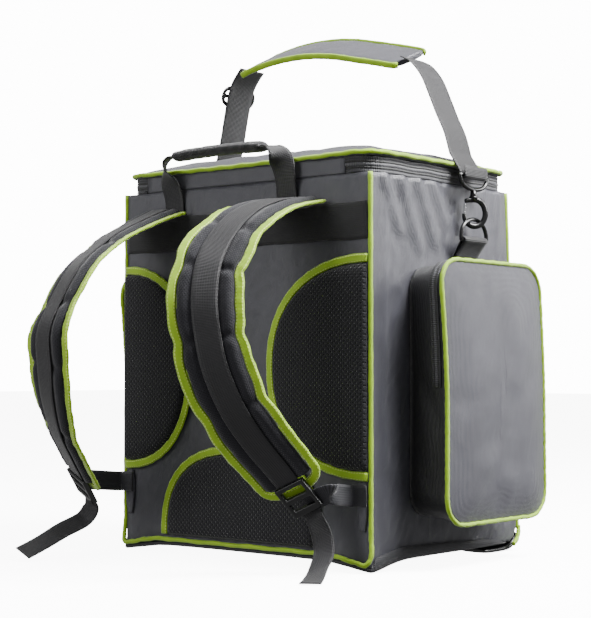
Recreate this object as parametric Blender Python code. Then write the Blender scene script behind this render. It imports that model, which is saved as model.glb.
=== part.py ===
"""Fishing backpack: a boxy zipped bag with side pockets, a padded back, shoulder straps and a carry strap.

Metres, +Z up. X runs along the back panel, -Y is the side that the wearer's back meets. The origin is the
middle of the base panel's flat underside; the front feet and the rear corners reach FOOT_DROP below it.
"""

import math

import bmesh
import bpy
from mathutils import Matrix, Vector

# Bag body
BODY_WIDTH = 0.400
BODY_DEPTH = 0.320
BODY_HEIGHT = 0.451
FRONT_LEAN = 0.025
SHELL_WALL = 0.003
REAR_CORNER = 0.006
FRONT_CORNER = 0.012
TOE_RADIUS = 0.028
GAP = 0.0003

# Base: the tray's coarse cloth is turned up the sides, and its rear corners dip to the floor
FOOT_DROP = 0.009
DIP_REACH = 0.070
EDGE_LIFT = 0.0015
TRAY_WALL = 0.002
TRAY_BAND = 0.015
TRAY_LIP = 0.0025
FLAT_INSET = 0.070
FOOT_WIDTH = 0.040
FOOT_LENGTH = 0.078
FOOT_TOE = 0.016
FOOT_EDGE = 0.002

# Lid
LID_INSET = 0.0015
LID_CORNER = 0.028
ZIP_BAND_HEIGHT = 0.020
ZIP_BAND_WALL = 0.002
ZIP_END = 0.162
LID_WALL = 0.004
LID_RIM = 0.005
LID_CROWN = 0.024
PIPING_RADIUS = 0.0027

# Side pockets
POCKET_DEPTH = 0.062
POCKET_LENGTH = 0.190
POCKET_HEIGHT = 0.296
POCKET_BOTTOM = 0.050
POCKET_MIDDLE = 0.010
POCKET_FLARE = 0.012
POCKET_CORNER = 0.030
POCKET_WALL = 0.002
POCKET_CROWN = 0.008
POCKET_LEAN = 0.013
POCKET_ZIP_WIDTH = 0.014
POCKET_ZIP_DEPTH = 0.046
POCKET_ZIP_END = 0.200
ZIP_THICKNESS = 0.0012
PULL_LENGTH = 0.034
PULL_WIDTH = 0.009
PULL_THICKNESS = 0.003

# Back panel
SEAM_INSET = 0.0032
HARNESS_SHIFT = -0.017
YOKE_BOTTOM = 0.374
YOKE_HEIGHT = 0.044
YOKE_THICKNESS = 0.0018
BACK_PAD_THICKNESS = 0.009
BACK_PAD_CENTRE = 0.2265
BACK_PAD_HEIGHT = 0.262
BACK_PAD_GAP = 0.122
LOWER_PAD_WIDTH = 0.264
LOWER_PAD_HEIGHT = 0.114
LOWER_PAD_BASE = 0.0158
BINDING_WIDTH = 0.011
BINDING_THICKNESS = 0.004

# Grab handle
HANDLE_SPAN = 0.186
HANDLE_RISE = 0.0705
HANDLE_WEBBING = 0.032
WEBBING_THICKNESS = 0.0016
GRIP_THICKNESS = 0.014
GRIP_WIDTH = 0.024
GRIP_SHARE = 0.40
GRIP_ARCH = 0.002
HANDLE_FOOT_GAP = 0.002
HANDLE_REACH = 0.019

# Shoulder straps
STRAP_SPREAD = 0.112
STRAP_TOP = 0.421
STRAP_DROP = 0.323
STRAP_REACH = {"left": 0.1925, "right": 0.1660}
STRAP_PAD_WIDTH = 0.062
STRAP_PAD_THICKNESS = 0.013
STRAP_WEBBING = 0.030
ADJUSTER_WEBBING = 0.025
BUCKLE_WIDTH = 0.040
BUCKLE_LENGTH = 0.042
BUCKLE_THICKNESS = 0.007
BUCKLE_BAR = 0.005
CORNER_TAB_WIDTH = 0.016
CORNER_TAB_HEIGHT = 0.056
CORNER_TAB_THICKNESS = 0.0026
CORNER_TAB_CLEARANCE = 0.0015
LOWER_WEBBING_DROP = 0.015

# Carry strap
CARRY_MIDDLE = 0.030
CARRY_WEBBING = 0.050
CARRY_RISE = 0.200
CARRY_PAD_WIDTH = 0.062
CARRY_PAD_THICKNESS = 0.008
CARRY_TILT = 26.0
SLIDER_WIDTH = 0.063
SLIDER_LENGTH = 0.027
SLIDER_THICKNESS = 0.004
SLIDER_BAR = 0.007
RING_WIRE = 0.0026
RING_HEIGHT = 0.026
RING_STAND = 0.016
TAB_DROP = 0.031
HOOK_BAR_LEVEL = 0.462
HOOK_WIRE = 0.0026
HOOK_LOOP = 0.017
HOOK_POST = 0.014
HOOK_POST_RADIUS = 0.005
HOOK_HEIGHT = 0.0325
HOOK_WIDTH = 0.028
HOOK_SPINE = 0.0036
HOOK_TURN = 35.0
GATE_RADIUS = 0.0013

SIDES = {"left": -1, "right": 1}

# Panel folds: the panel, where the fold starts and ends along it, its lower end and half-width as
# shares of the height and depth, and its height as a share of FOLD_HEIGHT
FOLD_HEIGHT = 0.003
BODY_FOLDS = (
    # panel, start, end, low, width, height
    ("side", 0.07, 0.20, 0.84, 0.030, 0.8),
    ("side", 0.19, 0.33, 0.80, 0.032, 1.0),
    ("side", 0.31, 0.44, 0.82, 0.030, 0.9),
    ("side", 0.42, 0.52, 0.88, 0.028, 0.7),
    ("side", 0.80, 0.76, 0.86, 0.030, 0.7),
    ("side", 0.92, 0.88, 0.82, 0.030, 0.6),
    ("side", 0.08, 0.07, 0.05, 0.034, 0.5),
    ("front", 0.18, 0.26, 0.80, 0.040, 0.7),
    ("front", 0.80, 0.72, 0.82, 0.040, 0.7),
)

# Shoulder straps, from the yoke to their lower ends: drop, reach and spread as shares of STRAP_DROP,
# STRAP_REACH and STRAP_SPREAD, degrees of outward twist, thickness as a share of STRAP_PAD_THICKNESS
STRAP_LINES = {
    "right": (
        # drop, reach, spread, twist, thickness
        (0.000, 0.007, 1.00, 0, 0.85),
        (0.022, 0.295, 1.00, 4, 1.00),
        (0.060, 0.528, 1.00, 10, 1.00),
        (0.118, 0.714, 1.00, 17, 0.78),
        (0.185, 0.847, 1.00, 24, 1.00),
        (0.263, 0.949, 1.01, 30, 0.78),
        (0.380, 1.002, 1.03, 36, 1.00),
        (0.505, 0.979, 1.05, 36, 0.78),
        (0.620, 0.920, 1.08, 36, 1.00),
        (0.750, 0.800, 1.15, 34, 0.78),
        (0.860, 0.646, 1.24, 30, 1.00),
        (0.940, 0.511, 1.32, 26, 0.90),
        (1.000, 0.414, 1.38, 22, 0.80),
    ),
    "left": (
        # drop, reach, spread, twist, thickness
        (0.000, 0.014, 1.00, 0, 0.85),
        (0.026, 0.125, 1.00, 3, 1.00),
        (0.066, 0.281, 1.00, 6, 1.00),
        (0.110, 0.442, 1.00, 8, 1.00),
        (0.152, 0.561, 1.00, 10, 0.78),
        (0.240, 0.754, 1.01, 12, 1.00),
        (0.378, 0.907, 1.03, 12, 0.78),
        (0.480, 0.987, 1.04, 10, 1.00),
        (0.596, 0.963, 1.07, 8, 0.78),
        (0.715, 0.905, 1.13, 14, 1.00),
        (0.834, 0.791, 1.22, 20, 0.78),
        (0.930, 0.645, 1.31, 22, 0.95),
        (1.000, 0.529, 1.38, 22, 0.80),
    ),
}

# Half of a pad's section, centre to edge: across and thickness as shares of its half sizes
PAD_SECTION = (
    # across, thickness
    (0.00, 0.70),
    (0.58, 0.68),
    (0.80, 1.00),
    (1.00, 0.45),
)

# Carry strap, right hook to left hook: across as a share of half the body width, rise as a share of
# CARRY_RISE above the hook bars
CARRY_RIGHT = (
    (1.015, 0.060),
    (0.985, 0.140),
    (0.944, 0.275),
    (0.884, 0.400),
    (0.832, 0.520),
    (0.770, 0.650),
    (0.690, 0.745),
    (0.6125, 0.7888),
)
CARRY_TOP = (
    (0.610, 0.790),
    (0.480, 0.826),
    (0.260, 0.880),
    (0.060, 0.925),
    (-0.150, 0.950),
    (-0.380, 0.948),
    (-0.600, 0.918),
    (-0.735, 0.880),
)
CARRY_LEFT = (
    (-0.7375, 0.8770),
    (-0.825, 0.770),
    (-0.876, 0.610),
    (-0.922, 0.400),
    (-0.975, 0.200),
    (-1.015, 0.060),
)

# Hook from its shoulder round the spine to its nose: across and height as shares of HOOK_WIDTH and
# HOOK_HEIGHT, thickness as a share of HOOK_SPINE
HOOK_LINE = (
    # across, height, thickness
    (-0.40, 0.955, 0.75),
    (-0.14, 1.000, 0.90),
    (0.14, 1.000, 1.00),
    (0.40, 0.865, 1.00),
    (0.54, 0.590, 1.00),
    (0.51, 0.310, 1.00),
    (0.32, 0.080, 1.00),
    (0.02, 0.000, 1.00),
    (-0.27, 0.080, 0.95),
    (-0.42, 0.290, 0.85),
    (-0.45, 0.480, 0.70),
)


def clear_scene():
    for thing in list(bpy.data.objects):
        bpy.data.objects.remove(thing, do_unlink=True)


def finish(name, colour, roughness, metallic=0.0):
    material = bpy.data.materials.new(name)
    material.use_nodes = True
    shader = material.node_tree.nodes["Principled BSDF"]
    shader.inputs["Base Color"].default_value = (*colour, 1.0)
    shader.inputs["Roughness"].default_value = roughness
    shader.inputs["Metallic"].default_value = metallic
    return material


def make_finishes():
    return {
        "nylon": finish("gray_nylon", (0.10, 0.10, 0.12), 0.45),
        "black": finish("black_cloth", (0.012, 0.012, 0.015), 0.6),
        "mesh": finish("spacer_mesh", (0.01, 0.01, 0.012), 0.85),
        "webbing": finish("webbing", (0.02, 0.02, 0.024), 0.7),
        "lime": finish("lime_binding", (0.42, 0.62, 0.06), 0.55),
        "zip": finish("zip_tape", (0.03, 0.03, 0.035), 0.5),
        "plastic": finish("moulded_plastic", (0.015, 0.015, 0.017), 0.3),
        "steel": finish("steel_pin", (0.7, 0.7, 0.72), 0.25, 1.0),
    }


def add_part(name, shape, material, smooth=50.0):
    """Names a finished shape, turns its faces outwards and puts it in the scene."""
    bmesh.ops.recalc_face_normals(shape, faces=shape.faces)
    mesh = bpy.data.meshes.new(name)
    shape.to_mesh(mesh)
    shape.free()
    mesh.materials.append(material)
    mesh.shade_smooth()
    mesh.set_sharp_from_angle(angle=math.radians(smooth))
    part = bpy.data.objects.new(name, mesh)
    bpy.context.scene.collection.objects.link(part)
    return part


def join_parts(part, *helpers):
    """Unites helper objects with a part by Booleans, and hides them."""
    for helper in helpers:
        helper.hide_render = True
        helper.display_type = "WIRE"
        helper.hide_set(True)
        union = part.modifiers.new(helper.name, "BOOLEAN")
        union.operation = "UNION"
        union.object = helper


def loft(rings, closed=False):
    """A closed solid through rings of equally many points; closed joins the last ring to the first."""
    shape = bmesh.new()
    rows = [[shape.verts.new(point) for point in ring] for ring in rings]
    pairs = list(zip(rows, rows[1:]))
    if closed:
        pairs.append((rows[-1], rows[0]))
    for low, high in pairs:
        count = len(low)
        for i in range(count):
            j = (i + 1) % count
            shape.faces.new((low[i], low[j], high[j], high[i]))
    if not closed:
        shape.faces.new(rows[0])
        shape.faces.new(rows[-1])
    bmesh.ops.triangulate(shape, faces=shape.faces, quad_method="SHORT_EDGE")
    return shape


def smooth_line(points, steps):
    """Points read from a Catmull-Rom curve through the given ones, with steps spans between each two."""
    ends = [points[0] * 2 - points[1], *points, points[-1] * 2 - points[-2]]
    line = []
    for i in range(1, len(ends) - 2):
        a, b, c, d = ends[i - 1 : i + 3]
        for k in range(steps):
            t = k / steps
            line.append(
                (b * 2 + (c - a) * t + (a * 2 - b * 5 + c * 4 - d) * t * t + (b * 3 - a - c * 3 + d) * t**3) / 2
            )
    line.append(points[-1].copy())
    return line


def frames(line, normals, closed=False):
    """The side and normal at each point of a line, square to it."""
    found = []
    count = len(line)
    for i, point in enumerate(line):
        if closed:
            along = line[(i + 1) % count] - line[i - 1]
        else:
            along = line[min(i + 1, count - 1)] - line[max(i - 1, 0)]
        along.normalize()
        side = along.cross(normals[i]).normalized()
        found.append((side, side.cross(along).normalized()))
    return found


def sweep(line, normals, section, scales=None, closed=False):
    """Carries a section of (across, out) points along a line; scales holds (across, out) factors."""
    rings = []
    for i, (side, normal) in enumerate(frames(line, normals, closed)):
        wide, thick = scales[i] if scales else (1.0, 1.0)
        rings.append([line[i] + side * (a * wide) + normal * (b * thick) for a, b in section])
    return loft(rings, closed)


def strip_section(width, thickness):
    """A ribbon's section."""
    half, out = width / 2, thickness / 2
    return ((half, -out), (half, out), (-half, out), (-half, -out))


def flat_section(width, thickness):
    """A flat binding's section, thinner at its edges."""
    half, out = width / 2, thickness / 2
    return ((half, 0), (half - out, out), (out - half, out), (-half, 0), (out - half, -out), (half - out, -out))


def round_section(radius, sides=6):
    return [
        (radius * math.cos(2 * math.pi * i / sides), radius * math.sin(2 * math.pi * i / sides))
        for i in range(sides)
    ]


def rounded_plan(half_width, rear, front, rear_radius, front_radius, steps):
    """Points round a plan, from the left rear corner: place, outward direction, panel and share along it."""
    corners = (
        (-half_width + rear_radius, rear + rear_radius, rear_radius, 180, "back"),
        (half_width - rear_radius, rear + rear_radius, rear_radius, 270, "right"),
        (half_width - front_radius, front - front_radius, front_radius, 0, "front"),
        (-half_width + front_radius, front - front_radius, front_radius, 90, "left"),
    )
    points = []
    for k, (x, y, radius, start, panel) in enumerate(corners):
        for i in range(steps["corner"] + 1):
            angle = math.radians(start + 90 * i / steps["corner"])
            out = Vector((math.cos(angle), math.sin(angle), 0))
            points.append((Vector((x, y, 0)) + out * radius, out, "corner", 0.0))
        first = points[-1][0]
        x2, y2, radius2, start2, _ = corners[(k + 1) % 4]
        turn = math.radians(start2)
        last = Vector((x2 + radius2 * math.cos(turn), y2 + radius2 * math.sin(turn), 0))
        for i in range(1, steps[panel]):
            share = i / steps[panel]
            points.append((first.lerp(last, share), points[-1][1] if i > 1 else out, panel, share))
    return points


def front_face(level):
    """Y of the front at a height: it leans in towards the top and curves under at the toe."""
    lean = FRONT_LEAN * level / BODY_HEIGHT
    under = max(TOE_RADIUS - level, 0.0)
    return BODY_DEPTH / 2 - lean - TOE_RADIUS + math.sqrt(max(TOE_RADIUS**2 - under**2, 0.0))


def fold_height(panel, share, level):
    """How far the cloth stands out at a place on a panel."""
    kind = "side" if panel in SIDES else panel
    if panel == "left":
        share = 1 - share
    high = level / BODY_HEIGHT
    total = 0.0
    for fold_panel, start, end, low, width, height in BODY_FOLDS:
        if fold_panel != kind or high < low:
            continue
        along = (1 - high) / (1 - low)
        away = (share - start - (end - start) * along) / width
        fade = math.sin(math.pi * min(max(1 - along, 0.0), 1.0) ** 0.5 * 0.5)
        total += height * FOLD_HEIGHT * fade * math.exp(-away * away)
    return total


BODY_STEPS = {"corner": 2, "back": 8, "right": 13, "front": 7, "left": 13}


def corner_dip(place):
    """How far the base dips towards the nearer rear corner."""
    corner = Vector((math.copysign(BODY_WIDTH / 2, place.x), -BODY_DEPTH / 2))
    near = max(1 - (place.xy - corner).length / DIP_REACH, 0.0)
    return -(FOOT_DROP + EDGE_LIFT) * near * (2 - near) * near


def body_ring(level, inset, folded=True):
    """The body's outline at a height, moved inwards by inset."""
    plan = rounded_plan(
        BODY_WIDTH / 2, -BODY_DEPTH / 2, front_face(level), REAR_CORNER, FRONT_CORNER, BODY_STEPS
    )
    fade = max(1 - level / (3 * DIP_REACH / 4), 0.0) ** 2
    ring = []
    for place, out, panel, share in plan:
        moved = place + out * ((fold_height(panel, share, level) if folded else 0.0) - inset)
        moved.z = level + (corner_dip(place) + EDGE_LIFT) * fade
        ring.append(moved)
    return ring


def flat_ring(level, inset):
    """The edge of the flat middle of the base, with as many points as the body's outline."""
    plan = rounded_plan(
        BODY_WIDTH / 2 - inset,
        inset - BODY_DEPTH / 2,
        front_face(0.0) - inset,
        REAR_CORNER,
        FRONT_CORNER,
        BODY_STEPS,
    )
    return [place + Vector((0, 0, level)) for place, *_ in plan]


def make_body(finishes):
    floor = TRAY_WALL + 2 * GAP
    outer = [floor, floor + 0.004, 0.014, TOE_RADIUS, 0.070, 0.200]
    outer += [BODY_HEIGHT * share for share in (0.78, 0.84, 0.885, 0.93, 0.97, 1.0)]
    inner = [BODY_HEIGHT * share for share in (1.0, 0.93, 0.84, 0.78)]
    inner += [0.070, TOE_RADIUS, 0.014, floor + SHELL_WALL]
    rings = [flat_ring(floor, FLAT_INSET)]
    rings += [body_ring(level, 0.0) for level in outer]
    rings += [body_ring(level, SHELL_WALL) for level in inner]
    rings.append(flat_ring(floor + SHELL_WALL, FLAT_INSET + SHELL_WALL))
    add_part("body_shell", loft(rings), finishes["nylon"])


def tray_ring(level, inset, band):
    """The tray's outline: level is over the dipped edge, and band adds the turned-up height."""
    plan = rounded_plan(
        BODY_WIDTH / 2, -BODY_DEPTH / 2, front_face(0.0), REAR_CORNER, FRONT_CORNER, BODY_STEPS
    )
    ring = []
    for place, out, panel, share in plan:
        moved = place - out * inset
        moved.z = level + corner_dip(place) + EDGE_LIFT
        along = (place.y + BODY_DEPTH / 2) / BODY_DEPTH
        if band > 0 and (panel in SIDES or (panel == "corner" and along < 0.1 and abs(out.x) > 0.99)):
            moved.z += band * (1 - 0.5 * along)
        elif band > 0 and along < 0.1:
            moved.z += TRAY_LIP
        ring.append(moved)
    return ring


def make_base(finishes):
    outside = -(GAP + TRAY_WALL)
    edge = TRAY_WALL * 0.9
    rings = [
        flat_ring(0.0, FLAT_INSET),
        tray_ring(0.0, outside, 0.0),
        tray_ring(edge, outside, TRAY_BAND),
        tray_ring(edge, -GAP, TRAY_BAND),
        tray_ring(TRAY_WALL, -GAP, 0.0),
        flat_ring(TRAY_WALL, FLAT_INSET),
    ]
    add_part("base_tray", loft(rings), finishes["webbing"])
    for side, sign in SIDES.items():
        make_foot(f"foot_{side}", sign, finishes["plastic"])


def make_foot(name, sign, material):
    """A moulded foot under a front corner, rounded up at the toe."""
    middle = sign * (BODY_WIDTH / 2 - FOOT_WIDTH / 2 - FOOT_EDGE)
    rear = front_face(0.0) - FOOT_LENGTH + TOE_RADIUS
    rings = []
    for share in (0.0, 0.05, 0.3, 0.6, 0.78, 0.9, 1.0):
        y = rear + FOOT_LENGTH * share
        past = max(y - front_face(0.0), 0.0)
        top = EDGE_LIFT * 0.4 * share - 2 * GAP
        if past > 0:
            top += TOE_RADIUS - math.sqrt(TOE_RADIUS**2 - min(past, TOE_RADIUS * 0.95) ** 2)
        curl = max(share - 0.7, 0.0) / 0.3
        low = -FOOT_DROP + FOOT_TOE * curl * curl + (FOOT_EDGE if share == 0.0 else 0.0)
        top = max(top, low + FOOT_EDGE)
        half = FOOT_WIDTH / 2 - (FOOT_EDGE if share in (0.0, 1.0) else 0.0)
        rings.append([
            Vector((middle - half, y, low + FOOT_EDGE * 0.75)),
            Vector((middle - half + FOOT_EDGE, y, low)),
            Vector((middle + half - FOOT_EDGE, y, low)),
            Vector((middle + half, y, low + FOOT_EDGE * 0.75)),
            Vector((middle + half, y, top)),
            Vector((middle - half, y, top)),
        ])
    add_part(name, loft(rings), material)


def make_seam_piping(finishes):
    """The piping round the back panel and down the front corners."""
    radius = PIPING_RADIUS
    edge = (REAR_CORNER + radius + 2 * GAP) * math.sqrt(0.5) - REAR_CORNER
    half, rear = BODY_WIDTH / 2 + edge, -BODY_DEPTH / 2 - edge
    low_y = -BODY_DEPTH / 2 - TRAY_WALL - GAP - radius * 0.6
    low_z = 0.0045 + EDGE_LIFT + radius + 2 * GAP
    turn = 0.014
    half_line = [Vector((half, rear, BODY_HEIGHT))]
    for level in (0.36, 0.24, 0.12, 0.050, 0.030):
        half_line.append(Vector((half, rear, level)))
    dip = corner_dip(Vector((BODY_WIDTH / 2, -BODY_DEPTH / 2, 0)))
    half_line.append(Vector((half + 0.0012, rear - 0.0012, low_z + dip * 0.70 + turn * 0.75)))
    half_line.append(Vector((half - turn * 0.25, low_y, low_z + dip * 0.92 + turn * 0.10)))
    for share in (0.90, 0.80, 0.68, 0.50, 0.25):
        place = Vector((BODY_WIDTH / 2 * share, -BODY_DEPTH / 2, 0))
        half_line.append(Vector((place.x, low_y, low_z + corner_dip(place))))
    middle = [Vector((0, low_y, low_z))]
    line = half_line + middle + [Vector((-p.x, p.y, p.z)) for p in reversed(half_line)]
    normals = [Vector((p.x * 0.2, -1, 0)) for p in line]
    add_part("harness_piping", sweep(line, normals, round_section(radius)), finishes["lime"])
    for side, sign in SIDES.items():
        line = [front_corner_place(level, sign) for level in (BODY_HEIGHT, 0.36, 0.24, 0.12, TOE_RADIUS)]
        line += [toe_place(angle, sign) for angle in (20, 40, 60, 76)]
        normals = [Vector((0, 1, 0.01))] * 5
        normals += [Vector((0, math.cos(math.radians(a)), -math.sin(math.radians(a)))) for a in (20, 40, 60, 76)]
        add_part(f"front_piping_{side}", sweep(line, normals, round_section(radius)), finishes["lime"])


def front_corner_place(level, sign):
    """A point of the piping down a front corner."""
    edge = (FRONT_CORNER + PIPING_RADIUS + 2 * GAP) * math.sqrt(0.5) - FRONT_CORNER
    return Vector((sign * (BODY_WIDTH / 2 + edge), front_face(level) + edge, level))


def toe_place(angle, sign):
    """A point of the same piping where it curves under the toe."""
    turn = math.radians(angle)
    start = (FRONT_CORNER + PIPING_RADIUS + 2 * GAP) * math.sqrt(0.5) - FRONT_CORNER
    out = start + (PIPING_RADIUS + 3 * GAP - start) * math.sin(turn)
    middle = front_face(TOE_RADIUS) - TOE_RADIUS
    return Vector((
        sign * (BODY_WIDTH / 2 + out),
        middle + (TOE_RADIUS + out) * math.cos(turn),
        TOE_RADIUS - (TOE_RADIUS + out) * math.sin(turn) + 0.003,
    ))


LID_STEPS = {"corner": 3, "back": 6, "right": 5, "front": 6, "left": 5}


def lid_plan(inset):
    """The lid's outline, moved inwards by inset."""
    inset += LID_INSET
    radius = max(LID_CORNER - inset * 0.6, 0.010)
    return rounded_plan(
        BODY_WIDTH / 2 - inset,
        inset - BODY_DEPTH / 2,
        front_face(BODY_HEIGHT) - inset,
        radius,
        radius,
        LID_STEPS,
    )


def lid_ring(level, inset):
    return [place + Vector((0, 0, level)) for place, *_ in lid_plan(inset)]


def lid_rise(inset):
    """Height of the crown over its rim, by the distance in from the edge."""
    reach = BODY_DEPTH / 2 - FRONT_LEAN
    return LID_CROWN * (1 - (1 - min(inset / reach, 1.0)) ** 2.6)


def make_lid(finishes):
    base = BODY_HEIGHT + ZIP_BAND_HEIGHT + 2 * GAP
    rim = base + LID_RIM
    insets = (0.0, 0.010, 0.028, 0.055, 0.090)
    rings = [lid_ring(rim + lid_rise(inset), inset) for inset in reversed(insets)]
    rings.append(lid_ring(base, 0.0))
    rings.append(lid_ring(base, LID_WALL * 0.8))
    rings += [lid_ring(rim + lid_rise(inset) - LID_WALL, inset + LID_WALL * 0.5) for inset in insets[1:]]
    add_part("lid", loft(rings), finishes["nylon"])
    reach = PIPING_RADIUS + 2 * GAP
    line = [place + out * reach + Vector((0, 0, rim - 0.001)) for place, out, *_ in lid_plan(0.0)]
    add_part(
        "lid_piping", sweep(line, [Vector((0, 0, 1))] * len(line), round_section(PIPING_RADIUS), closed=True),
        finishes["lime"],
    )
    make_lid_band(finishes)


def make_lid_band(finishes):
    """The zip band round the front and sides, and the plain hinge band along the back."""
    level = BODY_HEIGHT + GAP + ZIP_BAND_HEIGHT / 2
    inset = ZIP_BAND_WALL / 2
    loop = [(place, out) for place, out, panel, _ in lid_plan(inset) if panel != "back"]
    left_corner = LID_STEPS["corner"] + 1
    loop = loop[left_corner:] + loop[:left_corner]
    rear = loop[0][0].y
    back = Vector((0, -1, 0))
    loop = [(Vector((ZIP_END, rear, 0)), back), *loop, (Vector((-ZIP_END, rear, 0)), back)]
    section = [(ZIP_BAND_HEIGHT / 2 * a, ZIP_BAND_WALL / 2 * b) for a, b in ((1, -1), (1, 1), (-1, 1), (-1, -1))]
    line = [place + Vector((0, 0, level)) for place, _ in loop]
    add_part("lid_zip", sweep(line, [out for _, out in loop], section), finishes["zip"])
    end = ZIP_END - GAP
    line = [Vector((end * share, rear, level)) for share in (-1, -0.5, 0, 0.5, 1)]
    add_part("lid_hinge", sweep(line, [back] * 5, section), finishes["nylon"])
    face = front_face(BODY_HEIGHT) - LID_INSET + GAP + PULL_THICKNESS / 2
    pull = [Vector((0.012, face + PULL_LENGTH * out, level + PULL_LENGTH * up))
            for out, up in ((0.0, 0.24), (0.02, 0.0), (0.20, -0.70))]
    add_part(
        "lid_zip_pull", sweep(pull, [Vector((0, 1, 0))] * 3, flat_section(PULL_WIDTH, PULL_THICKNESS)),
        finishes["plastic"],
    )


POCKET_STEPS = {"corner": 3, "back": 3, "right": 5, "front": 3, "left": 5}


def pocket_plan(depth_share, inset):
    """A pocket's outline in Y and Z, as (y, z, out_y, out_z), widening with its depth."""
    flare = POCKET_FLARE * depth_share - inset
    half = POCKET_LENGTH / 2 + flare
    low = POCKET_BOTTOM - flare * 0.5
    high = POCKET_BOTTOM + POCKET_HEIGHT + flare * 0.35
    radius = max(POCKET_CORNER - inset * 0.5, 0.008)
    found = []
    for place, out, *_ in rounded_plan(half, low, high, radius, radius, POCKET_STEPS):
        share = min(max((place.y - low) / (high - low), 0.0), 1.0)
        lean = -POCKET_LEAN * depth_share * max(share - 0.45, 0.0) ** 1.5 / 0.55**1.5
        pinch = -0.10 * POCKET_LEAN * math.sin(math.pi * share) * math.copysign(1, place.x)
        found.append((POCKET_MIDDLE + place.x + lean + pinch, place.y, out.x, out.y))
    return found


def pocket_ring(sign, depth, inset, depth_share):
    x = sign * (BODY_WIDTH / 2 + GAP + depth)
    return [Vector((x, y, z)) for y, z, *_ in pocket_plan(depth_share, inset)]


def make_pocket(side, sign, finishes):
    full = POCKET_DEPTH
    wall = POCKET_WALL
    outer = ((full + POCKET_CROWN, 0.062), (full + POCKET_CROWN * 0.85, 0.030), (full + POCKET_CROWN * 0.35, 0.006),
             (full, 0.0), (full * 0.5, 0.0))
    rings = [pocket_ring(sign, depth, inset, min(depth / full, 1.0)) for depth, inset in outer]
    rings.append(pocket_ring(sign, 0.0, 0.0, 0.0))
    rings.append(pocket_ring(sign, 0.0, wall, 0.0))
    rings += [pocket_ring(sign, depth - wall, inset + wall, min(depth / full, 1.0))
              for depth, inset in reversed(outer)]
    add_part(f"side_pocket_{side}", loft(rings), finishes["nylon"])

    reach = PIPING_RADIUS + 2 * GAP
    line = []
    for y, z, out_y, out_z in pocket_plan(1.0, 0.0):
        line.append(Vector((sign * (BODY_WIDTH / 2 + full), y + out_y * reach, z + out_z * reach)))
    add_part(
        f"pocket_piping_{side}",
        sweep(line, [Vector((sign, 0, 0))] * len(line), round_section(PIPING_RADIUS), closed=True),
        finishes["lime"],
    )
    make_pocket_zip(side, sign, finishes)


def make_pocket_zip(side, sign, finishes):
    """The zip over the top of a pocket's gusset, with its pull at the front end."""
    share = POCKET_ZIP_DEPTH / POCKET_DEPTH
    spread = POCKET_ZIP_WIDTH / 2 / POCKET_DEPTH
    rows = [pocket_ring(sign, POCKET_DEPTH * s, -4 * GAP, s) for s in (share - spread, share, share + spread)]
    count = len(rows[1])
    middle = Vector((rows[1][0].x, POCKET_MIDDLE, POCKET_ZIP_END))
    kept = [i for i in range(count) if rows[1][i].z > POCKET_ZIP_END]
    start = next(i for i in kept if (i - 1) % count not in kept)
    rings = []
    for k in range(len(kept)):
        i = (start + k) % count
        wide = (rows[2][i] - rows[0][i]) / 2
        run = rows[1][(i + 1) % count] - rows[1][i - 1]
        out = wide.cross(run).normalized()
        if out.dot(rows[1][i] - middle) < 0:
            out = -out
        low, high = rows[1][i], rows[1][i] + out * ZIP_THICKNESS
        rings.append([low - wide, low + wide, high + wide, high - wide])
    for spot in (0, -1):
        share_down = (rings[spot][0].z - POCKET_ZIP_END) / (rings[spot][0].z - rings[1 if spot == 0 else -2][0].z)
        ring = [a + (a - b) * -share_down for a, b in zip(rings[spot], rings[1 if spot == 0 else -2])]
        rings.insert(0 if spot == 0 else len(rings), ring)
    add_part(f"pocket_zip_{side}", loft(rings), finishes["zip"])

    front = max((ring[2] for ring in (rings[0], rings[-1])), key=lambda corner: corner.y)
    x = middle.x
    y = front.y + PULL_THICKNESS / 2 - GAP
    pull = [Vector((x, y, POCKET_ZIP_END + PULL_LENGTH * 0.35)), Vector((x, y, POCKET_ZIP_END)),
            Vector((x + sign * 0.002, y + 0.004, POCKET_ZIP_END - PULL_LENGTH * 0.65))]
    add_part(
        f"pocket_zip_pull_{side}",
        sweep(pull, [Vector((0, 1, 0.1))] * 3, flat_section(PULL_WIDTH, PULL_THICKNESS)),
        finishes["plastic"],
    )


def half_arch(width, height, sharpness, steps):
    """Points of a rounded arch from its left foot over the top to its right foot, as (across, up)."""
    points = []
    for i in range(steps + 1):
        turn = math.pi * (1 - i / steps)
        across = math.copysign(abs(math.cos(turn)) ** (2 / sharpness), math.cos(turn))
        points.append((across * width / 2, abs(math.sin(turn)) ** (2 / sharpness) * height))
    return points


def inward(points, distance):
    """An open outline moved to its right-hand side, square to itself."""
    moved = []
    count = len(points)
    for i in range(count):
        a, b = points[max(i - 1, 0)], points[min(i + 1, count - 1)]
        run, rise = b[0] - a[0], b[1] - a[1]
        length = math.hypot(run, rise)
        moved.append((points[i][0] + rise / length * distance, points[i][1] - run / length * distance))
    return moved


def make_back_pad(name, arch, place, finishes):
    """A mesh pad inside an arch-shaped outline, with a flat binding along the arch."""
    face = -BODY_DEPTH / 2 - GAP
    rings = []
    for inset, thickness in ((0.0, 0.0), (0.0, 0.45), (0.006, 0.85), (0.020, 1.0)):
        base = place(inward(arch, BINDING_WIDTH + GAP * 2 + inset))
        rings.append([Vector((x, face - BACK_PAD_THICKNESS * thickness, z)) for x, z in base])
    add_part(name, loft(rings), finishes["mesh"])
    line = [Vector((x, face - BINDING_THICKNESS / 2, z)) for x, z in place(inward(arch, BINDING_WIDTH / 2))]
    section = flat_section(BINDING_WIDTH, BINDING_THICKNESS)
    add_part(
        name.replace("pad", "binding"), sweep(line, [Vector((0, -1, 0))] * len(line), section), finishes["lime"]
    )


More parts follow.
